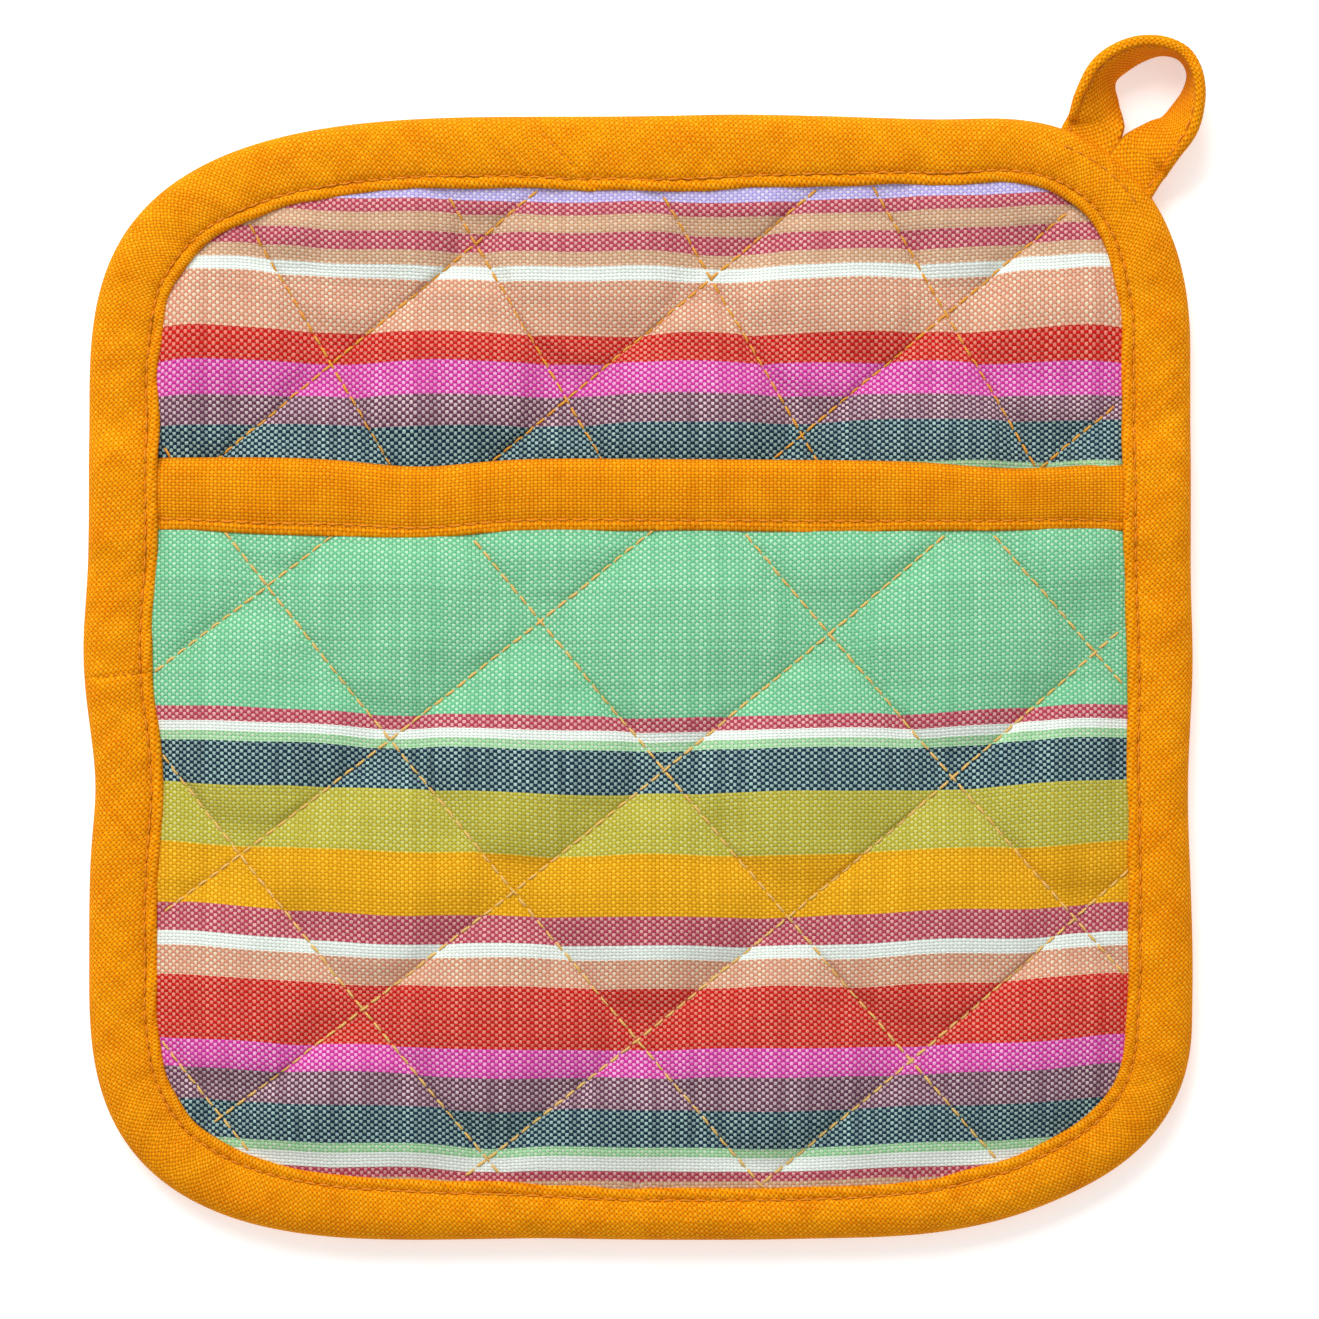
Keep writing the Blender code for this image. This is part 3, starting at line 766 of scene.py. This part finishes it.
def thread(name, rgb):
    """Twisted sewing thread, with painted shade in the grooves of its twist."""
    graph = Graph(name)
    u, v, _ = graph.place()
    twist = graph.maths("SINE", (u / 0.45 + v) * math.tau)
    shade = graph.remap(twist, -1.0, 1.0, 0.0, 1.0)
    light = linear(rgb)
    # Painted shade: the thread darkens in the grooves of its twist.
    shaded = (*(value * 0.7 for value in light[:3]), 1.0)
    return graph.finish(graph.mix(shade, shaded, light), shade, 0.00005, 0.55, Specular_IOR_Level=0.3)


def fibre(name):
    """Felted cotton wadding."""
    graph = Graph(name)
    fluff = graph.noise(graph.place()[2], 0.9, 6.0, 0.7)
    colour = graph.mix(fluff, (0.74, 0.71, 0.64, 1.0), (0.90, 0.88, 0.83, 1.0))
    return graph.finish(colour, fluff, 0.0006, 0.95)


# ---------------------------------------------------------------- heights of the layers
def pad_face_height(quilt):
    """The pad's face: under the lip at the edge, sewn down along the seams, puffed between."""
    under_lip = lip_base(quilt.y) - FOLDED - 0.25 - 1.1 * pocket_share(quilt.y) \
        - 0.5 * over_loop_ends(quilt.x, quilt.y)
    inner = smooth((quilt.depth - quilt.width) / 12.0)
    pressed = smooth((MOUTH_Y - BAND / 2 - quilt.y) / 10.0)
    relief = quilt.relief * (1.0 - pressed * (1.0 - 0.5 * smooth((quilt.depth - quilt.width) / 18.0)))
    return under_lip + (SEAM_Z - under_lip) * inner + relief


def pad_back_height(quilt):
    """The backing: flat on the table, drawn up in the seams and at the bound edge."""
    inner = smooth((quilt.depth - quilt.width) / 10.0)
    edge = LIP_BOTTOM + FOLDED + 0.3
    groove = GROOVE_BACK * (1.0 - smooth(quilt.relief / (PUFF * 0.6)))
    return edge * (1.0 - inner) + groove * inner


def pocket_rise(x, y):
    """How far the pocket panel stands off the pad."""
    depth, width = edge_field(x, np.minimum(y, 0.0))
    return POCKET_RISE * smooth((depth - width) / 75.0)


def pocket_seam_height(quilt):
    """Height of the pocket's seams on the face side."""
    under_lip = lip_base(quilt.y) - FOLDED - 0.25
    inner = smooth((quilt.depth_open - quilt.width_open) / 20.0)
    return under_lip + (POCKET_SEAM_Z - under_lip) * inner + pocket_rise(quilt.x, quilt.y)


def pocket_face_height(quilt):
    """The pocket's face cloth."""
    return pocket_seam_height(quilt) + quilt.relief


def pocket_lining_height(quilt):
    """The lining: flatter puffs, a panel's thickness below."""
    inner = smooth((quilt.depth_open - quilt.width_open) / 14.0)
    return pocket_seam_height(quilt) - 1.05 - 1.15 * inner - 0.16 * quilt.relief * inner


# ---------------------------------------------------------------- build
STRIPED = striped_cloth("striped_face_cloth", PAD_STRIPES)
POCKET_CLOTH = striped_cloth("striped_pocket_cloth", POCKET_STRIPES)
EDGE_LENGTH = RUN[-1] + float(np.hypot(*(OUTLINE[0] - OUTLINE[-1])))
EDGE_PITCH = EDGE_LENGTH / round(EDGE_LENGTH / STITCH)
BIAS = orange_cloth("orange_bias_cotton", math.radians(45), (EDGE_PITCH, EDGE_STITCH_ROW))
STRAIGHT = orange_cloth("orange_cotton", 0.0, (STITCH, BAND_STITCH_ROW), (228, 138, 2), (217, 120, 0))
TAPE = orange_cloth("orange_tape", math.radians(38))
GOLD = thread("gold_thread", (236, 164, 54))
PALE_GOLD = thread("pale_gold_thread", (240, 194, 108))
ORANGE_THREAD = thread("orange_thread", (236, 142, 10))
WADDING = fibre("cotton_wadding")


def pad_uv(quilt):
    """Cloth coordinates of the pad: the stripes sag between the sides, most near the top."""
    sag = 2.3 * (quilt.x / 80.0) ** 2 * smooth((quilt.y - 58.0) / 18.0)
    sag = sag + 1.2 * smooth(quilt.x / 90.0) * smooth((56.0 - quilt.y) / 10.0)
    sag = sag - 1.2 * np.exp(-((quilt.x + 42.0) / 20.0) ** 2) * smooth((54.0 - quilt.y) / 12.0)
    ripple = 0.5 * (quilt.relief / PUFF - 0.5) + 0.25 * waves_2d(quilt.x, quilt.y, 31, 50.0)
    return np.c_[quilt.x, quilt.y - sag - ripple]


def pocket_uv(quilt):
    """Cloth coordinates of the pocket panel."""
    sag = 2.2 * (quilt.x / 84.0) ** 2
    ripple = 0.5 * (quilt.relief / PUFF - 0.5) + 0.3 * waves_2d(quilt.x, quilt.y, 32, 55.0)
    return np.c_[quilt.x, quilt.y - sag - ripple]


def declare(obj, body, slot, *nodes):
    """Put a finished piece on its body in place of its CAD nodes; the slot is not used."""
    if nodes:
        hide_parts(*nodes)
    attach(obj, body)


def declare_halves(parts, slot, *nodes):
    """Halves of a pocket layer, with their transforms baked, in place of their CAD nodes."""
    for part, side in zip(parts, (SIDES["left"] + 9.0, SIDES["right"] - 9.0)):
        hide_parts(*nodes)
        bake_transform(part)


def closed_between(name, quilt, low, high, material):
    """A closed solid between two heights of one quilt grid."""
    count = len(quilt.x)
    x, y = quilt.x + quilt.drift[:, 0], quilt.y + quilt.drift[:, 1]
    vertices = np.concatenate([np.c_[x, y, high], np.c_[x, y, low]])
    faces = list(quilt.faces)
    faces += [tuple(count + k for k in reversed(face)) for face in quilt.faces]
    edges = {}
    for face in quilt.faces:
        for first, second in zip(face, face[1:] + face[:1]):
            edges[(first, second)] = True
    for first, second in edges:
        if (second, first) not in edges:
            faces.append((second, first, count + first, count + second))
    uv = np.concatenate([np.c_[x, y], np.c_[x, y]])
    return new_object(name, vertices, faces, uv, material)


def sew_halves(name, node, seeds, tree, pairs, allowed, material, size=THREAD):
    """Stitches on the pocket, as a left and a right half."""
    sides = [Stitches(seed) for seed in seeds]
    for pair in pairs:
        sew(sides[int(pair[0][0] > 0.0)], tree, [pair], allowed, size)
    parts = [stitches.build(f"{name}_{side}", material) for stitches, side in zip(sides, ("left", "right"))]
    declare_halves(parts, "gold_thread", node)


def make_pad():
    """Face cloth, wadding, backing and quilting thread of the pad."""
    quilt = Quilt(PAD_LATTICE, PAD_STRAY, 0.0,
                  lambda x, y, depth, width: depth > 3.2,
                  lambda x, y, depth, width: smooth((depth - width) / 4.0), 11, PUFF)
    face = quilt.surface("pad_face_cloth_visual", pad_face_height, pad_uv, STRIPED)
    back = quilt.surface("pad_backing_cloth_visual", pad_back_height, pad_uv, STRIPED)
    back.data.flip_normals()
    wadding = closed_between("pad_wadding_visual", quilt, pad_back_height(quilt) + CLOTH + 0.15,
                             pad_face_height(quilt) - CLOTH - 0.35 - 0.15 * quilt.relief, WADDING)
    for cloth in (face, back):
        subdivide(cloth)
        thicken(cloth, CLOTH)
    gold = Stitches(21)
    tree, tree_back = surface_tree(face), surface_tree(back)
    for line in quilt.seams():
        pairs = along_line(line, QUILT_STITCH)
        sew(gold, tree, pairs, lambda x, y: free_of_lip(x, y, 0.2))
        sew(gold, tree_back, pairs, lambda x, y: free_of_lip(x, y, 0.2), BOBBIN_THREAD, True)
    quilting = gold.build("pad_quilting_stitches", GOLD)
    declare(face, "pad", "striped_face", "pad_face_cloth")
    declare(back, "pad", "striped_backing", "pad_backing_cloth")
    declare(wadding, "pad", "wadding", "pad_wadding")
    declare(quilting, "pad", "gold_thread", "pad_quilting_thread")


def free_of_lip(x, y, clear):
    """Whether a place on the pad is inside the binding's inner edge."""
    depth, width = edge_field(np.array([x]), np.array([y]))
    return bool(depth[0] > width[0] + clear)


def make_pocket():
    """Face cloth, wadding, lining and quilting thread of the pocket panel, each in two halves."""
    def inside(x, y, depth, width):
        return (depth > width - 4.6) & (y < mouth_line(x) - 0.6)

    def room(x, y, depth, width):
        return smooth((depth - width) / 4.0) * smooth((mouth_line(x) - band_width(x) - y) / 4.0)

    quilt = Quilt(POCKET_LATTICE, POCKET_STRAY, POCKET_LATTICE_SAG, inside, room, 12, PUFF)
    quilt.depth_open, quilt.width_open = edge_field(quilt.x, np.minimum(quilt.y, 0.0))
    face = quilt.surface("pocket_face_cloth_visual", pocket_face_height, pocket_uv, POCKET_CLOTH)
    lining = quilt.surface("pocket_lining_visual", pocket_lining_height, pocket_uv, POCKET_CLOTH)
    lining.data.flip_normals()
    low = pocket_lining_height(quilt) + CLOTH + 0.05
    high = pocket_face_height(quilt) - CLOTH - 0.3 - 0.15 * quilt.relief
    wadding = closed_between("pocket_wadding_visual", quilt, low, np.maximum(high, low + 0.05), WADDING)
    subdivide(face)
    subdivide(lining)
    tree = surface_tree(face)
    for obj, slot, node in ((face, "striped_pocket", "pocket_face_cloth"),
                            (lining, "striped_lining", "pocket_lining")):
        parts = halves(obj, [f"{node}_left", f"{node}_right"], 0.0)
        for part in parts:
            thicken(part, CLOTH)
        declare_halves(parts, slot, node)
    parts = halves(wadding, ["pocket_wadding_left", "pocket_wadding_right"], 0.0)
    declare_halves(parts, "wadding", "pocket_wadding")
    pairs = [pair for line in quilt.seams() for pair in along_line(line, QUILT_STITCH)]
    sew_halves("pocket_quilting_stitches", "pocket_quilting_thread", (22, 23), tree, pairs,
               lambda x, y: free_of_lip(x, y, 0.2) and y < mouth_line(x) - band_width(x) + 0.4, PALE_GOLD)


def band_ground(x):
    """Height of the pocket panel's front at its mouth."""
    depth, width = edge_field(np.array([x]), np.array([0.0]))
    under_lip = LIP_TOP_POCKET - FOLDED - 0.25
    inner = smooth((depth - width) / 20.0)
    rise = POCKET_RISE * smooth((depth - width) / 75.0)
    return (under_lip + (POCKET_SEAM_Z - under_lip) * inner + rise)[0]


def make_mouth_band():
    """The orange strip folded over the pocket's mouth, and its row of stitches."""
    columns = np.sort(np.r_[np.linspace(SIDES["left"] + 8.5, SIDES["right"] - 8.5, 190), 0.0])
    profile = [(-BAND + 0.05, -0.75), (-BAND - 0.12, -0.4), (-BAND - 0.05, -0.12), (-BAND + 0.35, 0.02)]
    profile += [(-BAND + t, 0.0) for t in (0.9, 1.3, 1.7, 2.3, 3.2, 4.6, 6.2, 8.0, 9.8, 11.2)]
    fold = [(-1.25, -0.25), (-0.5, -0.65), (-0.1, -1.2), (0.0, -1.7), (-0.1, -2.2), (-0.5, -2.6)]
    profile += fold + [(-t, -2.75) for t in (1.4, 3.0, 5.0, 7.5, 10.0, BAND - 0.4)]
    rows, places = [], []
    for x in columns:
        line = float(mouth_line(x))
        stretch = float(band_width(x)) / BAND
        base = float(band_ground(x)) + 0.2
        row = []
        for offset, lift in profile:
            y = line + offset * stretch + (0.12 * math.sin(x / 7.0) if offset < -BAND + 1.0 else 0.0)
            z = base + lift
            if -BAND + 0.2 < offset < -1.0 and lift > -0.5:
                inner = offset + BAND
                z += 0.45 * math.sin(math.pi * max(inner - 1.6, 0.0) / (BAND - 1.6))
                z -= 0.38 * math.exp(-((inner - STITCH_INSET) / 0.7) ** 2)
                z += 0.10 * float(waves_2d(np.array(x), np.array(y), 41, 16.0))
            row.append((x, y, z))
        rows.append(row)
        places.append((x, line - (BAND - STITCH_INSET) * stretch))
    vertices = np.array(rows).reshape(-1, 3)
    run = np.cumsum([0.0] + [math.dist(a, b) for a, b in zip(profile, profile[1:])])
    uv = [(x, -t) for x in columns for t in run]
    band = new_object("pocket_mouth_band_visual", vertices, grid_faces(len(columns), len(profile)), uv,
                      STRAIGHT)
    band.data.flip_normals()
    parts = halves(band, ["pocket_mouth_band_left", "pocket_mouth_band_right"], 0.0)
    for part in parts:
        thicken(part, 0.55, 1.0)
    band_tree = surface_tree(*parts)
    declare_halves(parts, "orange_binding", "pocket_mouth_band")
    marks = np.arange(-32.5, 33.0) * STITCH
    line = np.array(places)
    holes = np.c_[marks, np.interp(marks, line[:, 0], line[:, 1])]
    sew_halves("pocket_mouth_stitches", "pocket_mouth_stitching", (24, 25), band_tree,
               zip(holes[:-1], holes[1:]), lambda x, y: free_of_lip(x, y, 0.0), ORANGE_THREAD, EDGE_THREAD)


# ---------------------------------------------------------------- edge binding
def lip_section(width, s):
    """Section of the binding at run s, from the front lip's inner edge to the back's.

    Each point is (inset, height, share), where the share of the front lip's height is added to it.
    """
    stitch = width - STITCH_INSET
    insets = [width + 0.02, width + 0.16, width + 0.05, width - 0.3, width - 0.8, stitch + 0.35, stitch,
              stitch - 0.35, stitch - 0.9]
    insets += list(np.linspace(stitch - 1.8, 3.4, 6))
    front = []
    hole = 0.30 * math.exp(-(((s % EDGE_PITCH) - EDGE_PITCH / 2) / 0.5) ** 2)
    for number, inset in enumerate(insets):
        crown = 0.55 * math.sin(math.pi * np.clip((inset - 0.5) / (stitch - 0.2), 0.0, 1.0))
        groove = (0.42 + hole) * math.exp(-((inset - stitch) / 0.62) ** 2)
        drop = (0.75, 0.42, 0.14, 0.02)[number] if number < 4 else 0.0
        front.append((inset, -0.3 + crown - groove - drop, 1.0))
    curve = []
    for step in range(9):
        turn = math.pi / 2 - math.pi * step / 8
        share = (1.0 + math.sin(turn)) / 2
        curve.append((3.0 * (1.0 - math.cos(turn)), LIP_BOTTOM * (1.0 - share), share))
    back = [(inset, LIP_BOTTOM + 0.05, 0.0) for inset in np.linspace(4.2, stitch - 0.8, 6)]
    back += [(stitch, LIP_BOTTOM + 0.35, 0.0), (width - 0.6, LIP_BOTTOM, 0.0), (width, LIP_BOTTOM + 0.2, 0.0)]
    return front + curve + back


def station(run):
    """Outline point, inward normal, lip width at a run length."""
    place = (run % EDGE_LENGTH) / EDGE_LENGTH * OUTLINE_POINTS
    low = int(place) % OUTLINE_POINTS
    high = (low + 1) % OUTLINE_POINTS
    share = place - int(place)
    point = OUTLINE[low] * (1 - share) + OUTLINE[high] * share
    normal = INWARD[low] * (1 - share) + INWARD[high] * share
    return point, normal / np.hypot(*normal), WIDTH[low] * (1 - share) + WIDTH[high] * share


def run_at_angle(degrees):
    """Run length where the outline crosses a direction from the centre."""
    apart = np.abs((ANGLE - degrees + 180.0) % 360.0 - 180.0)
    return RUN[int(apart.argmin())]


def make_strip(name, node, start, end, leans, seed):
    """One binding strip between two joins, each a (run length, lean) pair seen across the lip."""
    stations = int((end - start) / 0.72)
    rows, uv = [], []
    for number in range(stations):
        share = number / (stations - 1)
        middle_run = start + (end - start) * share
        width = station(middle_run)[2] + 0.22 * float(waves(np.array(middle_run), seed, 30.0))
        lean = leans[0] * max(1.0 - share * 8.0, 0.0) + leans[1] * max(share * 8.0 - 7.0, 0.0)
        run, before = 0.0, None
        for inset, z, weight in lip_section(width, middle_run):
            s = middle_run + lean * (inset - LIP_MIDDLE)
            point, inward, _ = station(s)
            from_join = min(s - start - leans[0] * (inset - LIP_MIDDLE),
                            end + leans[1] * (inset - LIP_MIDDLE) - s)
            top = float(lip_top(point[0], point[1])) + 0.14 * float(waves(np.array(s), seed + 1, 22.0))
            z = z + top * weight - 0.42 * weight * math.exp(-(from_join / 0.55) ** 2)
            if weight > 0.5:
                near_loop = math.exp(-(math.dist(point, LOOP_ROOT[:2]) / 13.0) ** 6)
                z -= 0.4 * near_loop * math.exp(-((inset - ROOT_ROW_INSET) / 0.4) ** 2)
            if weight == 1.0 and inset > 2.0:
                z += 0.15 * float(waves_2d(np.array(s), np.array(inset), seed + 2, 13.0))
            place = point + inward * inset
            if before is not None:
                run += math.dist(before, (inset, z))
            before = (inset, z)
            rows.append((place[0], place[1], z))
            uv.append((s, run))
    count = len(rows) // stations
    strip = new_object(name, rows, grid_faces(stations, count), uv, BIAS)
    thicken(strip, 0.5, 1.0)
    declare(strip, "pad", "orange_binding", node)
    (end - start) * MM
    return strip


def make_binding():
    """Both binding strips, their two rows of stitches, and the stitches at the joins and the loop."""
    left, top = run_at_angle(LEFT_JOIN_ANGLE), run_at_angle(TOP_JOIN_ANGLE)
    left_after = left if left > top else left + EDGE_LENGTH
    long_strip = make_strip("edge_binding_long", "edge_binding_long_strip", left_after - EDGE_LENGTH, top,
                            (0.0, TOP_JOIN_LEAN), 51)
    short_strip = make_strip("edge_binding_short", "edge_binding_short_strip", top, left_after,
                             (TOP_JOIN_LEAN, 0.0), 52)
    tree = surface_tree(long_strip, short_strip)
    front, back = Stitches(26), Stitches(27)
    holes = []
    for number in range(round(EDGE_LENGTH / EDGE_PITCH) + 1):
        point, inward, width = station((number + 0.5) * EDGE_PITCH)
        holes.append(point + inward * (width - STITCH_INSET))
    pairs = list(zip(holes[:-1], holes[1:]))
    sew(front, tree, pairs, everywhere, EDGE_THREAD)
    sew(back, tree, pairs, everywhere, BOBBIN_THREAD, True)
    for lean, run, reach in ((TOP_JOIN_LEAN, top, (3.0, 9.6)), (0.0, left, (3.6, 9.0))):
        for inset in np.arange(*reach, 1.7):
            ends = []
            for step in (inset, inset + 1.1):
                point, inward, _ = station(run + lean * (step - LIP_MIDDLE))
                ends.append(point + inward * step)
            sew(front, tree, [tuple(ends)], everywhere, 0.3)
    root_row = [station(s) for s in np.arange(0.0, EDGE_LENGTH, EDGE_PITCH)]
    root_row = [point + inward * ROOT_ROW_INSET for point, inward, _ in root_row
                if math.dist(point, LOOP_ROOT[:2]) < 12.5]
    sew(front, tree, zip(root_row[:-1], root_row[1:]), everywhere, 0.36)
    declare(front.build("edge_stitches_front", ORANGE_THREAD), "pad", "gold_thread", "edge_stitching_front")
    declare(back.build("edge_stitches_back", ORANGE_THREAD), "pad", "gold_thread", "edge_stitching_back")


def make_seam_allowance():
    """The pocket panel's raw edge, caught inside the binding."""
    reach = [s for s in np.arange(0.0, EDGE_LENGTH, 2.0) if station(s)[0][1] < MOUTH_Y - 1.0]
    breaks = [k for k in range(1, len(reach)) if reach[k] - reach[k - 1] > 3.0]
    if breaks:
        reach = [s - EDGE_LENGTH for s in reach[breaks[0]:]] + reach[:breaks[0]]
    rows, uv = [], []
    for s in reach:
        point, inward, width = station(s)
        inner = width - 4.9
        for inset, z in ((2.6, 6.0), (inner, 6.0), (inner, 6.75), (2.9, 6.75), (2.4, 6.4)):
            place = point + inward * inset
            rows.append((place[0], place[1], z))
            uv.append((place[0], place[1]))
    allowance = new_object("pocket_seam_allowance_visual", rows, tube_faces(len(reach), 5), uv, POCKET_CLOTH)
    declare(allowance, "pad", "striped_pocket", "pocket_seam_allowance")


# ---------------------------------------------------------------- hanging loop
LOOP_AXIS = np.array(JOINTS["loop_swing"]["axis"][:2])
LOOP_OUT = np.array([-LOOP_AXIS[1], LOOP_AXIS[0]])
LOOP_STAND_OFF = 1.4
LOOP_WIDTH = 11.2
LOOP_THICK = 1.8
LOOP_HEIGHT = 4.65
LOOP_STITCH = 2.6
LOOP_STITCH_INSET = 1.5
# Along the root line, outwards from the bound edge, width seen from above
LOOP_ROUTE = (
    (-5.0, -1.2, 11.4), (-5.2, 1.6, 11.4), (-6.1, 4.8, 11.4), (-8.5, 8.4, 9.9), (-10.4, 11.8, 7.6),
    (-10.8, 15.0, 6.2), (-9.6, 18.8, 5.4), (-7.7, 21.9, 4.2), (-4.7, 24.6, 2.4), (-1.1, 25.7, 1.4),
    (2.3, 24.3, 1.7), (4.6, 21.2, 3.8), (5.8, 17.6, 6.0), (6.4, 13.8, 7.8), (5.6, 9.8, 10.0),
    (4.9, 5.6, 11.4), (5.0, 1.8, 11.6), (5.2, -1.2, 11.6),
)
LOOP_STEPS = 6


def rounded_route(route, steps):
    """Catmull-Rom points through a route."""
    knots = [np.array(point, float) for point in route]
    knots = [2 * knots[0] - knots[1]] + knots + [2 * knots[-1] - knots[-2]]
    points = []
    for before, start, end, after in zip(knots, knots[1:], knots[2:], knots[3:]):
        for step in range(steps):
            t = step / steps
            points.append(0.5 * (2 * start + (end - before) * t
                                 + (2 * before - 5 * start + 4 * end - after) * t ** 2
                                 + (3 * start - before - 3 * end + after) * t ** 3))
    return np.array(points + [knots[-2]])


def loop_frames():
    """Places along the tape with its across and through directions."""
    points = rounded_route(LOOP_ROUTE, LOOP_STEPS)
    root = LOOP_ROOT[:2] - LOOP_OUT * LOOP_STAND_OFF
    flat = root + points[:, :1] * LOOP_AXIS + points[:, 1:2] * LOOP_OUT
    seen = points[:, 2] / LOOP_WIDTH
    edge_on = LOOP_THICK / LOOP_WIDTH * np.sqrt(np.clip(1.0 - seen ** 2, 0.0, 1.0))
    twist = np.arccos(np.clip(seen - edge_on, -0.15, 1.0))
    height = LOOP_HEIGHT + 1.4 * smooth(np.sin(twist) * 1.05) + 0.35 * np.tanh(points[:, 0] / 2.0)
    centre = np.c_[flat, height]
    tangent = np.gradient(centre, axis=0)
    tangent /= np.linalg.norm(tangent, axis=1)[:, None]
    level = np.c_[-tangent[:, 1], tangent[:, 0], np.zeros(len(tangent))]
    level /= np.linalg.norm(level, axis=1)[:, None]
    across = level * np.cos(twist)[:, None] + np.array([0.0, 0.0, 1.0]) * np.sin(twist)[:, None]
    through = np.cross(tangent, across)
    through /= np.linalg.norm(through, axis=1)[:, None]
    run = np.r_[0.0, np.cumsum(np.linalg.norm(np.diff(centre, axis=0), axis=1))]
    return centre, across, through, run


def tape_section():
    """The folded tape's section: four plies, a rolled outer edge and the groove of its stitches."""
    half, thick = LOOP_WIDTH / 2, LOOP_THICK / 2
    groove = half - LOOP_STITCH_INSET
    marks = [-half + 0.35, -half + 1.0, -half + 2.2, -1.6, 0.0, 1.6, groove - 0.9, groove - 0.4, groove,
             groove + 0.4, half - 0.45]
    front = []
    for place in marks:
        dent = 0.32 * math.exp(-((place - groove) / 0.42) ** 2)
        bulge = 0.16 if place > groove + 0.2 else 0.0
        slim = 0.25 * (1.0 - min((place + half) / 1.0, 1.0))
        front.append((place, thick - dent + bulge - slim))
    edge = [(half - 0.05, thick * 0.55), (half + 0.08, 0.0), (half - 0.05, -thick * 0.55)]
    back = [(place, -rise) for place, rise in reversed(front)]
    return front + edge + back + [(-half - 0.02, -thick * 0.3), (-half - 0.02, thick * 0.3)]


def blend_loop(obj):
    """Bake a loop piece's transform into its mesh."""
    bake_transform(obj)


def make_loop():
    """The tape loop, the stitches along its edge and its two ends inside the binding."""
    centre, across, through, run = loop_frames()
    section = tape_section()
    girth = np.r_[0.0, np.cumsum([math.dist(a, b) for a, b in zip(section, section[1:])])]
    rows, uv = [], []
    for number in range(len(centre)):
        sway = 0.12 * float(waves(np.array(run[number]), 61, 14.0))
        for (a, b), around in zip(section, girth):
            rows.append(centre[number] + across[number] * (a + sway) + through[number] * b)
            uv.append((run[number], around))
    loop = new_object("hanging_loop_visual", rows, tube_faces(len(centre), len(section)), uv, TAPE)
    loop.data.set_sharp_from_angle(angle=math.radians(70))
    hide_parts("hanging_loop")
    blend_loop(loop)
    stitches = Stitches(28)
    edge = LOOP_WIDTH / 2 - LOOP_STITCH_INSET
    marks = np.arange(2.0, run[-1] - 2.0, LOOP_STITCH)
    for side in (1.0, -1.0):
        def on_face(values, side=side):
            place = [np.interp(values, run, centre[:, k]) for k in range(3)]
            over = np.array([np.interp(values, run, across[:, k]) for k in range(3)])
            out = np.array([np.interp(values, run, through[:, k]) for k in range(3)])
            return np.array(place) + over * edge + out * side * (LOOP_THICK / 2 - 0.22), out * side
        for first, second in zip(marks, marks[1:]):
            start, up = on_face(first)
            stop, _ = on_face(second)
            stitches.add(start, stop, up, 0.38)
    thread_row = stitches.build("hanging_loop_stitches", ORANGE_THREAD)
    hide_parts("hanging_loop_stitching")
    blend_loop(thread_row)
    for name, side in (("loop_end_left", -1.0), ("loop_end_right", 1.0)):
        make_loop_end(name, side)


def make_loop_end(name, side):
    """One end of the tape, pressed flat between the face cloth and the binding."""
    root = LOOP_ROOT[:2] - LOOP_OUT * LOOP_STAND_OFF + LOOP_AXIS * side * 5.75
    rows, uv = [], []
    section = ((-5.1, 5.62), (5.1, 5.62), (5.3, 5.9), (5.1, 6.15), (-5.1, 6.15), (-5.3, 5.9))
    for reach in (3.6, 5.0, 6.5, 8.2):
        for a, z in section:
            place = root - LOOP_OUT * reach + LOOP_AXIS * a
            rows.append((place[0], place[1], z))
            uv.append((reach, a))
    end = new_object(f"{name}_visual", rows, tube_faces(4, len(section)), uv, TAPE)
    declare(end, "pad", "orange_tape", name)


make_pad()
make_pocket()
make_mouth_band()
make_binding()
make_seam_allowance()
make_loop()


# ---------------------------------------------------------------- setting, light and camera
def make_setting():
    """Pale floor, soft light and the camera straight above."""
    mesh = bpy.data.meshes.new("floor")
    size = 3.0
    corners = [(-size, -size, 0), (size, -size, 0), (size, size, 0), (-size, size, 0)]
    mesh.from_pydata(corners, [], [(0, 1, 2, 3)])
    floor = bpy.data.objects.new("floor", mesh)
    bpy.context.scene.collection.objects.link(floor)
    floor.location.z = -0.0002
    paint = Graph("floor_paint")
    paint.shader.inputs["Base Color"].default_value = (0.93, 0.93, 0.93, 1.0)
    paint.shader.inputs["Roughness"].default_value = 0.9
    paint.shader.inputs["Emission Color"].default_value = (1.0, 0.99, 0.98, 1.0)
    paint.shader.inputs["Emission Strength"].default_value = 0.35
    mesh.materials.append(paint.material)

    scene = bpy.context.scene
    world = scene.world or bpy.data.worlds.new("studio")
    scene.world = world
    world.use_nodes = True
    backdrop = world.node_tree.nodes["Background"]
    backdrop.inputs["Color"].default_value = (1.0, 1.0, 1.0, 1.0)
    backdrop.inputs["Strength"].default_value = 0.62
    scene.view_settings.view_transform = "Standard"

    light = bpy.data.lights.new("key", "AREA")
    light.size = 1.0
    light.energy = 25.5
    lamp = bpy.data.objects.new("key", light)
    lamp.location = (-0.42, 1.16, 1.12)
    lamp.rotation_euler = (-lamp.location).to_track_quat("-Z", "Y").to_euler()
    scene.collection.objects.link(lamp)

    camera_data = bpy.data.cameras.new("camera")
    camera_data.lens = 135.0
    camera_data.sensor_width = 36.0
    camera_data.clip_end = 20.0
    camera = bpy.data.objects.new("camera", camera_data)
    view_width = 0.2506
    aim = to_world((3.7, 3.7, 7.0))
    camera.location = (aim[0], aim[1], aim[2] + view_width * camera_data.lens / camera_data.sensor_width)
    scene.collection.objects.link(camera)
    scene.camera = camera


make_setting()
